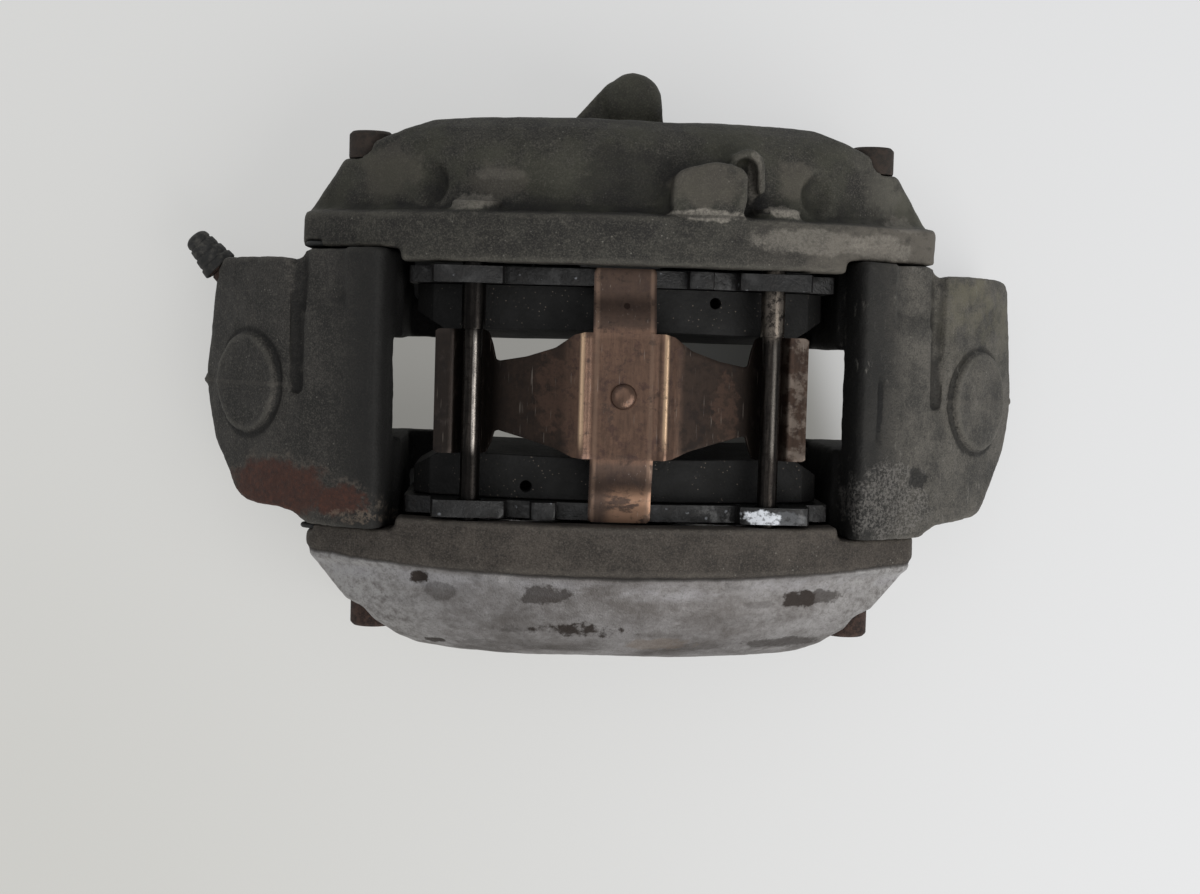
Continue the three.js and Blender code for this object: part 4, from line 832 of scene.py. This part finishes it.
PIN_X, _, PIN_Z = (middle("right_pad_pin") - CENTRE) / MM
PIN_RADIUS = span("right_pad_pin")[0] / 2
SLEEVE_RADIUS = span("right_pin_sleeve")[0] / 2
RIM_Y = 63.2           # back of the inboard rim
PARTING_Y = 64.2       # outboard parting line in the middle
PARTING_BOW = 0.00036  # how fast it bends towards the ends
RISER_X = 137.2        # middle of the bridges' round riser pads
RISER_Z = 51.1
RISER_LEAN = math.radians(48.6)
BOLT_HEAD = 8.05       # radius of a bridge bolt's head
SEAL_DEPTH = 2.75      # radial depth of a piston seal
BOOT_IN = 20.8         # inner radius of a dust boot
BOOT_DEPTH = 5.8
BOOT_HALF = 0.45       # half the rubber's thickness
BODY = "caliper"


def ridge(values, low, high):
    """1 within low of zero, 0 past high, smooth between."""
    return 1 - step(np.abs(values), low, high)


def bump_at(points, centre, reach):
    """1 at a centre, falling smoothly to 0 at a reach in each direction."""
    away = np.sqrt((((points - centre) / reach) ** 2).sum(axis=1))
    return 1 - step(away, 0, 1)


def sand(points, *layers):
    """Sum of noise layers, each of a height, a size and a seed."""
    return sum(height * lattice_noise(points, size, seed) for height, size, seed in layers)


class CALIPER_OT_housings(bpy.types.Operator):
    """Inboard and outboard housings as cast skins"""
    bl_idname = "caliper.housings"
    bl_label = "Housings"

    def execute(self, context):
        sizes = context.scene.caliper_castings
        grain = sizes.grain / MM
        wave = sizes.wave / MM

        def skin(points, seed):
            return sand(points, (grain, 1.9, seed), (0.8 * grain, 3.7, seed + 1), (wave, 17, seed + 2),
                        (0.5 * wave, 8, seed + 3))

        def inboard(points):
            x, y, z = points.T
            outside = step(y, 51.5, 53)
            rise = skin(points, 11) * (0.25 + 0.75 * outside)
            rise -= 0.5 * ridge(y - RIM_Y - 1.8, 0.3, 2.2) * step(z, 60, 70)
            for side in (-1, 1):
                rise -= 1.1 * bump_at(points, (side * 36, 70, 92), (15, 6, 12))
                rise -= 1.3 * bump_at(points, (side * 88, 76, 76), (14, 9, 14))
            rise += 0.9 * bump_at(points, (-96, 84, 72), (9, 7, 12))
            rise -= 1.4 * bump_at(points, (-2, 74, 94), (11, 6, 10))
            return rise

        def outboard(points):
            x, y, z = points.T
            outside = 1 - step(y, -53, -51.5)
            rise = skin(points, 29) * (0.25 + 0.75 * outside) * 0.8
            parting = y + PARTING_Y - x * x * PARTING_BOW
            rise -= 0.45 * ridge(parting, 0.2, 1.4) * step(z, 40, 60)
            for middle_x in (-45, 44):
                rise += 0.9 * ridge(x - middle_x, 3, 6) * ridge(parting + 1.5, 0.6, 3)
            rise -= 1.2 * bump_at(points, (-70, -66.6, 90), (5, 4, 8))
            for side in (-1, 1):
                rise += 1.2 * bump_at(points, (side * 82, -82, 66), (9, 6, 14))
            return rise

        for half, shape, finish, slot in (
                ("inboard", inboard, inboard_coat, "dirty_aluminium"),
                ("outboard", outboard, outboard_coat, "bare_aluminium")):
            item = casting(half + "_casting", half + "_housing", sizes.voxel / MM, 3, shape)
            dress(item, coat(finish), BODY, slot, half + "_housing")
        return {"FINISHED"}


class CALIPER_OT_bridges(bpy.types.Operator):
    """Left and right bridges as cast skins, with the mould line and old damage"""
    bl_idname = "caliper.bridges"
    bl_label = "Bridges"

    def execute(self, context):
        sizes = context.scene.caliper_castings
        grain = sizes.grain / MM
        wave = sizes.wave / MM
        line = sizes.mould_line / MM

        def shape_of(side):
            def shape(points):
                x, y, z = points.T
                rise = sand(points, (1.2 * grain, 1.9, 41 + side), (grain, 3.6, 47 + side),
                            (wave, 15, 53 + side), (0.5 * wave, 7, 59))
                across = (np.abs(x) - RISER_X) * math.cos(RISER_LEAN) - (z - RISER_Z) * math.sin(RISER_LEAN)
                far = np.hypot(across, y)
                face = step(z, 22, 30)
                rise += face * (0.55 * (1 - step(far, 17.6, 18.8)) - 0.9 * ridge(far - 19.6, 0, 1.5))
                rise -= 0.9 * ridge(np.abs(x) - 117.5, 1.0, 5.5) * step(y, -8, 2) * step(z, 30, 50)
                rise -= 0.7 * ridge(np.abs(x) - 108, 8.2, 9.8) * step(y, 26, 28) * step(z, 60, 70)
                seam = y + 0.8 * lattice_noise(points, 20, 61)
                rise += line * ridge(seam, 0.2, 1.3) * step(side * x, 112, 120)
                if side < 0:
                    rise += 1.6 * bump_at(points, (-155.6, 0, 26), (5, 2.6, 6))
                    rise -= 0.8 * bump_at(points, (-118, -36, 58), (22, 12, 30)) * (
                        0.6 + 0.5 * lattice_noise(points, 5, 67))
                else:
                    gouge = ridge(x - 93.5 - 0.02 * y, 0.3, 1.6) * ridge(y + 3, 10, 14)
                    rise -= 0.9 * gouge * step(z, 70, 76)
                    rise -= 0.9 * bump_at(points, (110, -28, 74), (8, 5, 12))
                return rise
            return shape

        for name, side in SIDES:
            item = casting(
                name + "_bridge_casting", name + "_bridge", sizes.voxel / MM * 0.92, 3, shape_of(side))
            dress(item, coat(bridge_coat, side), BODY, "cast_iron", name + "_bridge")
        return {"FINISHED"}


class CALIPER_OT_bolts(bpy.types.Operator):
    """Eight socket-head bridge bolts"""
    bl_idname = "caliper.bolts"
    bl_label = "Bridge bolts"

    def execute(self, context):
        chamfer = context.scene.caliper_hardware.bolt_chamfer / MM
        for half, way in HALVES:
            for side, _ in SIDES:
                for row in ("outer", "inner"):
                    node = f"{half}_bolt_{side}_{row}"
                    tall = span(node)[1]
                    seat = tall - 10
                    corners = [
                        (0, 0), (4.2, 0), (5, 0.9), (5, seat), (7.9, seat), (BOLT_HEAD, seat + 0.8),
                        (BOLT_HEAD, tall - chamfer), (BOLT_HEAD - chamfer, tall), (5.3, tall),
                        (4.7, tall - 0.6), (4.5, tall - 1.0), (4.5, tall - 4.8), (0, tall - 6.2)]
                    radii = [0, 0.2, 0.2, 0.1, 0.15, 0.15, 0.4, 0.3, 0.15, 0.1, 0.1, 0.1, 0]
                    profile = rounded(corners, radii)
                    flats = (profile[:, 0] <= 4.6) & (profile[:, 1] > tall - 5.5) & (profile[:, 0] > 3.5)
                    start = foot_of(node, way)
                    item = turned(f"{half}_cap_screw_{side}_{row}", profile, start, (0, way, 0), 72, flats)
                    dress(item, coat(rusty_coat), BODY, "rusty_steel", node)
        return {"FINISHED"}


class CALIPER_OT_pistons(bpy.types.Operator):
    """Pistons, their seals and their folded dust boots"""
    bl_idname = "caliper.pistons"
    bl_label = "Pistons and boots"

    def execute(self, context):
        for half, way in HALVES:
            for side, _ in SIDES:
                node = f"{half}_piston_{side}"
                profile = rounded(
                    [(0, 28), (17.5, 28), (17.5, 0.6), (18.1, 0), (20.6, 0), (21.3, 0.7), (21.3, 2),
                     (20.4, 2), (20.4, 4.4), (22, 4.4), (22, 36.5), (20.5, 38), (0, 38)],
                    [0, 1.5, 0.3, 0.3, 0.3, 0.3, 0.2, 0.2, 0.2, 0.3, 0.5, 0.5, 0])
                item = turned(f"{half}_cup_{side}", profile, foot_of(node, way), (0, way, 0), 96)
                dress(item, coat(piston_coat), f"{half}_{side}_piston", "piston_chrome", node)

                node = f"{half}_dust_boot_{side}"
                start = foot_of(node, way)
                across = np.linspace(0, 1, 33)
                radius = BOOT_IN + BOOT_DEPTH * across
                fold = 2.2 + 0.7 * across
                fold += 1.5 * np.cos(across * 3.1 * math.pi) * np.sin(across * math.pi) ** 0.5
                front = np.stack([radius, fold - BOOT_HALF], axis=1)
                back = np.stack([radius, fold + BOOT_HALF], axis=1)[::-1]
                item = turned(f"{half}_bellows_{side}", np.concatenate([front, back]), start, (0, way, 0), 96)
                dress(item, coat(seal_coat), BODY, "rubber", node)

                node = f"{half}_piston_seal_{side}"
                outer, wide = span(node)[:2] / (2, 1)
                inner = outer - SEAL_DEPTH
                profile = rounded([(inner, 0), (outer, 0), (outer, wide), (inner, wide)], 0.4, closed=True)
                item = turned(f"{half}_square_ring_{side}", profile, foot_of(node), (0, 1, 0), 96)
                dress(item, coat(seal_coat), BODY, "rubber", node)
            node = f"{half}_crossover_ring"
            outer, thick = span(node)[:2] / 2
            turn = np.arange(16) * math.pi / 8
            profile = np.stack([outer - thick + thick * np.cos(turn), thick * np.sin(turn)], axis=1)
            item = turned(f"{half}_o_ring", profile, middle(node), (0, 1, 0), 48)
            dress(item, coat(seal_coat), BODY, "rubber", node)
        return {"FINISHED"}


class CALIPER_OT_pads(bpy.types.Operator):
    """Brake pads: backing plates, friction linings and damping shims"""
    bl_idname = "caliper.pads"
    bl_label = "Brake pads"

    def execute(self, context):
        sizes = context.scene.caliper_hardware
        for half, _ in HALVES:
            for part, slot, finish, width in (
                    ("backing_plate", "plate_steel", plate_coat, sizes.plate_ease / MM),
                    ("lining", "lining", lining_coat, sizes.lining_ease / MM),
                    ("shim", "plate_steel", plate_coat, 0.12)):
                node = f"{half}_{part}"
                item = eased(f"{half}_pad_{part}", node, width)
                dress(item, coat(finish), f"{half}_pad", slot, node)
        return {"FINISHED"}


def split_tube(name, inner, outer, start, end, centre, gap):
    """Tube with a slit along its underside: a rounded rectangle of radius and distance, carried round the
    centre through every angle but the slit's."""
    profile = rounded([(inner, start), (outer, start), (outer, end), (inner, end)], 0.22, 3, closed=True)
    half = math.asin(gap / 2 / outer)
    angle = np.linspace(-math.pi / 2 + half, 1.5 * math.pi - half, 61)
    x = centre[0] + profile[None, :, 0] * np.cos(angle)[:, None]
    z = centre[1] + profile[None, :, 0] * np.sin(angle)[:, None]
    y = np.broadcast_to(profile[None, :, 1], x.shape)
    rows, around = x.shape
    faces = [tuple(f) for f in grid_faces(rows, around, wrap_columns=True)]
    faces += [tuple(range(around))[::-1], tuple(range((rows - 1) * around, rows * around))]
    return solid_object(name, placed(np.stack([x, y, z], axis=-1).reshape(-1, 3)), faces)


class CALIPER_OT_pins(bpy.types.Operator):
    """Pad pins and the spring sleeves that hold them"""
    bl_idname = "caliper.pins"
    bl_label = "Pad pins"

    def execute(self, context):
        chamfer = context.scene.caliper_hardware.pin_chamfer / MM
        for name, side in SIDES:
            node = f"{name}_pad_pin"
            long = span(node)[1]
            r = PIN_RADIUS
            profile = rounded(
                [(0, 0), (r - chamfer, 0), (r, 1.8), (r, long - chamfer), (r - chamfer, long), (0, long)],
                [0, 0.4, 0.6, 0.3, 0.3, 0])
            item = turned(f"{name}_pin_shank", profile, foot_of(node), (0, 1, 0), 64)
            dress(item, coat(pin_coat), f"{name}_pin", "pin_steel", node)
            node = f"{name}_pin_sleeve"
            first, last = about_centre(node, 0)[1], about_centre(node, 1)[1]
            item = split_tube(
                f"{name}_spring_sleeve", r + 0.08, SLEEVE_RADIUS, first, last, (side * PIN_X, PIN_Z), 1.0)
            dress(item, coat(pin_coat), f"{name}_pin", "pin_steel", node)
        return {"FINISHED"}


def even_chain(half, radii, steps, count):
    """Chain of (run, height) points, the same on both sides of 0: corners rounded, even points added."""
    chain = rounded([(-run, height) for run, height in half[::-1]] + half, radii[::-1] + radii, steps)
    chain = chain[np.concatenate([[True], np.linalg.norm(np.diff(chain, axis=0), axis=1) > 1e-6])]
    far = np.concatenate([[0], np.cumsum(np.linalg.norm(np.diff(chain, axis=0), axis=1))])
    fine = np.union1d(far, np.linspace(0, far[-1], count))
    return np.stack([np.interp(fine, far, column) for column in chain.T], axis=1)


class CALIPER_OT_spring(bpy.types.Operator):
    """Hold-down spring: the leaf from pin to pin, the strip over the pads and their rivet"""
    bl_idname = "caliper.spring"
    bl_label = "Hold-down spring"

    def execute(self, context):
        sizes = context.scene.caliper_spring
        thick = sizes.thickness / MM
        crown_half = sizes.crown_half / MM
        rib = sizes.rib / MM
        low, high = about_centre("spring_leaf", 0), about_centre("spring_leaf", 1)
        crown = high[2] - 0.9
        wide = (high[1] - low[1]) / 2
        end = high[0]
        under = PIN_Z - PIN_RADIUS - 0.3
        crest = crown + rib * 0.9
        half = [(crown_half - 4.4, crown), (crown_half - 2.6, crest), (crown_half - 0.6, crest),
                (crown_half + 1.6, crown - 1.6)]
        half += [(PIN_X + run, under + height) for run, height in (
            (-23, 11.4), (-13, 6.2), (-8.4, 3.2), (-5.8, 0.6), (-3.2, -1.2), (2.6, -1.2), (5.0, 1.4),
            (6.8, 3.5))]
        half.append((end, under + 3.8))
        chain = even_chain(half, [1.2, 1.2, 1.3, 2.4, 6, 6, 4, 2.5, 2.5, 2, 2, 2, 0], 7, 150)

        def leaf_width(x):
            run = np.abs(x)
            at = [0, crown_half - 2, crown_half + 1.5, 24, 34]
            at += [*(PIN_X - back for back in (9.5, 8, 6.6, 5.2, 3.8)), end - 1.2, end]
            upper = [wide, wide, wide - 0.9, 16.4, 13.0, 11.2, 11.6, 17.5, 21.2, wide, wide, wide - 0.8]
            lower = [wide, wide, wide - 0.4, 18.6, 15.8, 13.4, 13.8, 18.5, 21.4, wide, wide, wide - 0.8]
            return -np.interp(run, at, lower), np.interp(run, at, upper)

        leaf = sheet("spring_leaf_sheet", chain, leaf_width, thick, "y")
        dress(leaf, coat(spring_coat), BODY, "spring_steel", "spring_leaf")

        low, high = about_centre("spring_strip", 0), about_centre("spring_strip", 1)
        top = high[2]
        foot = low[2] + thick
        reach = high[1]
        half = [(16, top), (26, top - 1.2), (36, foot + 0.6), (reach, foot)]
        chain = even_chain(half, [5, 5, 4, 0], 8, 90)

        def strip_width(y):
            wide_strip = np.interp(np.abs(y), [0, reach - 1.2, reach], [high[0], high[0], high[0] - 0.9])
            return -wide_strip, wide_strip

        strip = sheet("spring_strip_sheet", chain, strip_width, thick, "x", 33)
        dress(strip, coat(spring_coat), BODY, "spring_steel", "spring_strip")

        radius, tall = span("spring_rivet")[[0, 2]] / (2, 1)
        start = middle("spring_rivet")
        start[2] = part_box("spring_rivet")[0].z
        turn = np.linspace(0, math.pi / 2, 12)
        head = np.stack([radius * np.cos(turn) ** 0.75, tall - 1.9 + 1.9 * np.sin(turn)], axis=1)
        head[-1, 0] = 0
        profile = np.concatenate([rounded(
            [(0, 0), (radius * 0.78, 0.1), (radius * 0.9, 0.7), (radius * 0.9, 1.4), (radius * 0.5, 1.4),
             (radius * 0.5, tall - 2.3), (radius, tall - 2.3)], [0, 0.4, 0.3, 0, 0, 0, 0]), head])
        rivet = turned("spring_rivet_head", profile, start, (0, 0, 1), 56)
        dress(rivet, coat(spring_coat), BODY, "spring_steel", "spring_rivet")
        return {"FINISHED"}


class CALIPER_OT_bleeder(bpy.types.Operator):
    """Bleeder screw and its ribbed rubber cap"""
    bl_idname = "caliper.bleeder"
    bl_label = "Bleeder and cap"

    def execute(self, context):
        sizes = context.scene.caliper_cap
        joint = next(j for j in frame["joints"] if j["name"] == "bleeder_turn")
        along = joint["axis"]
        start = joint["pos_m"]
        profile = rounded(
            [(0, -12), (1.5, -12), (4.8, -8.5), (4.8, 6), (4, 6.5), (4, 6.8), (5.6, 6.8), (5.6, 10.8),
             (4, 11.2), (4, 11.4), (2.8, 12.2), (2.8, 15.2), (3.4, 15.7), (2.9, 19.7), (0, 19.7)],
            [0, 0.2, 0.3, 0.2, 0.1, 0, 0, 0.3, 0.3, 0.2, 0.3, 0.2, 0.2, 0.4, 0])
        flats = (profile[:, 0] > 5.2) & (profile[:, 1] > 6.7) & (profile[:, 1] < 11)
        item = turned("bleeder_nipple", profile, start, along, 72, flats)
        dress(item, coat(rusty_coat), "bleeder", "rusty_steel", "bleeder_screw")

        foot, tip = 7.1, 22.9
        big, small = 6.95, 4.7
        ribs = sizes.ribs
        deep = sizes.rib_depth / MM
        pitch = (tip - foot - 3.6) / ribs
        outer = [(6.0, foot), (6.6, foot)]
        for i in range(ribs):
            base = foot + i * pitch
            radius = big - (big - small) * i / ribs
            outer += [(radius, base + 0.35), (radius - 0.25, base + pitch * 0.76),
                      (radius - 0.4 - deep, base + pitch * 0.84), (radius - 0.4 - deep, base + pitch * 0.98)]
        outer += [(small + 0.15, tip - 3.3), (small - 0.2, tip - 1.4), (small * 0.55, tip), (0, tip)]
        inner = [(0, 20.0), (3.75, 20.0), (3.75, 13.1), (5.9, 11.1)]
        profile = rounded(inner + outer, [0, 0.3, 0.3, 0.3, 0.2] + [0.4] * (len(outer) - 4) + [0.9, 1.6, 0])
        item = turned("bleeder_rubber_cap", profile, start, along, 80)
        dress(item, coat(rubber_coat), "cap", "rubber", "bleeder_cap")
        return {"FINISHED"}


LENS = 59.13
CAMERA_SPOT = (-37.36, 21.43, 790)  # millimetres about the caliper's centre
CAMERA_AXES = (                     # the camera's right, up and back
    (0.998716, 0.028769, 0.041701), (-0.026316, 0.997957, -0.05821), (-0.043291, 0.057038, 0.997433))
FLOOR_DROP = 0.4 * MM


class CALIPER_OT_stage(bpy.types.Operator):
    """Pale floor that glows as painted light, soft light and the camera above the caliper"""
    bl_idname = "caliper.stage"
    bl_label = "Stage"

    def execute(self, context):
        stage = context.scene.caliper_stage
        reach = 9.0
        level = CENTRE[2] - FLOOR_DROP
        mesh = bpy.data.meshes.new("floor")
        mesh.from_pydata([(-reach, -reach, level), (reach, -reach, level), (reach, reach, level),
                          (-reach, reach, level)], [], [(0, 1, 2, 3)])
        floor = linked("floor", mesh)
        f = Finish("floor sheet")
        f.base = stage.floor[:]
        f.done(0.55)
        # The floor's glow is painted light: brighter to the right and towards +Y, and under the caliper
        # bright only in its openings, dark elsewhere.
        across = f.x.band(-300, 300)
        across = across * 0.76 + f.y.band(-220, 220) * (1 - across) * 0.4
        room = f.blend(across, stage.room_left[:], stage.room_right[:])
        right = f.blend((f.x * 3 + f.y).band(224, 302), stage.glow_left[:], stage.glow_right[:])
        left = f.blend(f.y.band(-20, 20) * 0.5, stage.glow_left[:], colour(150, 149, 145))
        below = f.blend(f.x.band(60, 72), f.blend(f.x.band(-24, 6), left, colour(26, 26, 24)), right)
        below = f.blend(f.y.size().band(22, 30), below, colour(8, 8, 8))
        inside = f.x.near(102, 112) * f.y.near(58, 66)
        glow = f.blend(inside, room, below)
        f.feed(f.shader.inputs["Emission Color"], glow)
        f.shader.inputs["Emission Strength"].default_value = 1.0
        mesh.materials.append(f.material)

        world = bpy.data.worlds.new("room")
        world.use_nodes = True
        ground = world.node_tree.nodes["Background"]
        ground.inputs["Color"].default_value = (0.93, 0.96, 1.0, 1.0)
        ground.inputs["Strength"].default_value = stage.sky
        context.scene.world = world
        for name, spot, wide, power in (
                ("window", (0.75, -0.65, 1.15), (1.3, 1.0), stage.window),
                ("ceiling", (-0.35, 0.5, 1.6), (1.6, 1.2), stage.window * 0.35)):
            lamp = bpy.data.lights.new(name, "AREA")
            lamp.shape = "RECTANGLE"
            lamp.size, lamp.size_y = wide
            lamp.energy = power
            lamp.color = (1.0, 0.985, 0.96)
            item = linked(name, lamp)
            item.location = CENTRE + np.array(spot)
            aim = Vector(CENTRE + np.array([0, 0, 0.05])) - item.location
            item.rotation_euler = aim.to_track_quat("-Z", "Y").to_euler()

        lens = bpy.data.cameras.new("camera")
        lens.sensor_width = 36
        lens.lens = LENS
        lens.clip_start = 0.01
        camera = linked("camera", lens)
        turn = Matrix(CAMERA_AXES).transposed()
        camera.matrix_world = Matrix.Translation(placed(CAMERA_SPOT)) @ turn.to_4x4()
        context.scene.camera = camera
        context.scene.view_settings.view_transform = "Standard"
        return {"FINISHED"}


PIECES = (
    CALIPER_OT_stage, CALIPER_OT_housings, CALIPER_OT_bridges, CALIPER_OT_bolts, CALIPER_OT_pistons,
    CALIPER_OT_pads, CALIPER_OT_pins, CALIPER_OT_spring, CALIPER_OT_bleeder)


class CALIPER_PT_panel(bpy.types.Panel):
    """Sizes, colours and steps of the caliper"""
    bl_idname = "CALIPER_PT_panel"
    bl_label = "Brake caliper"
    bl_space_type = "VIEW_3D"
    bl_region_type = "UI"
    bl_category = "Caliper"

    def draw(self, context):
        for group in SETTINGS:
            box = self.layout.box()
            settings = getattr(context.scene, group)
            for name in settings.bl_rna.properties.keys():
                if name not in ("rna_type", "name"):
                    box.prop(settings, name)
        for piece in PIECES:
            self.layout.operator(piece.bl_idname)


SETTINGS = {
    "caliper_castings": CastingSizes,
    "caliper_hardware": HardwareSizes,
    "caliper_spring": SpringSizes,
    "caliper_cap": CapSizes,
    "caliper_colours": CaliperColours,
    "caliper_stage": StageSettings,
}
CLASSES = (*SETTINGS.values(), *PIECES, CALIPER_PT_panel)


def register():
    for item in CLASSES:
        bpy.utils.register_class(item)
    for name, group in SETTINGS.items():
        setattr(bpy.types.Scene, name, bpy.props.PointerProperty(type=group))


def unregister():
    for name in SETTINGS:
        delattr(bpy.types.Scene, name)
    for item in reversed(CLASSES):
        bpy.utils.unregister_class(item)


def main():
    register()
    for piece in PIECES:
        family, name = piece.bl_idname.split(".")
        getattr(getattr(bpy.ops, family), name)()


if __name__ == "__main__":
    main()
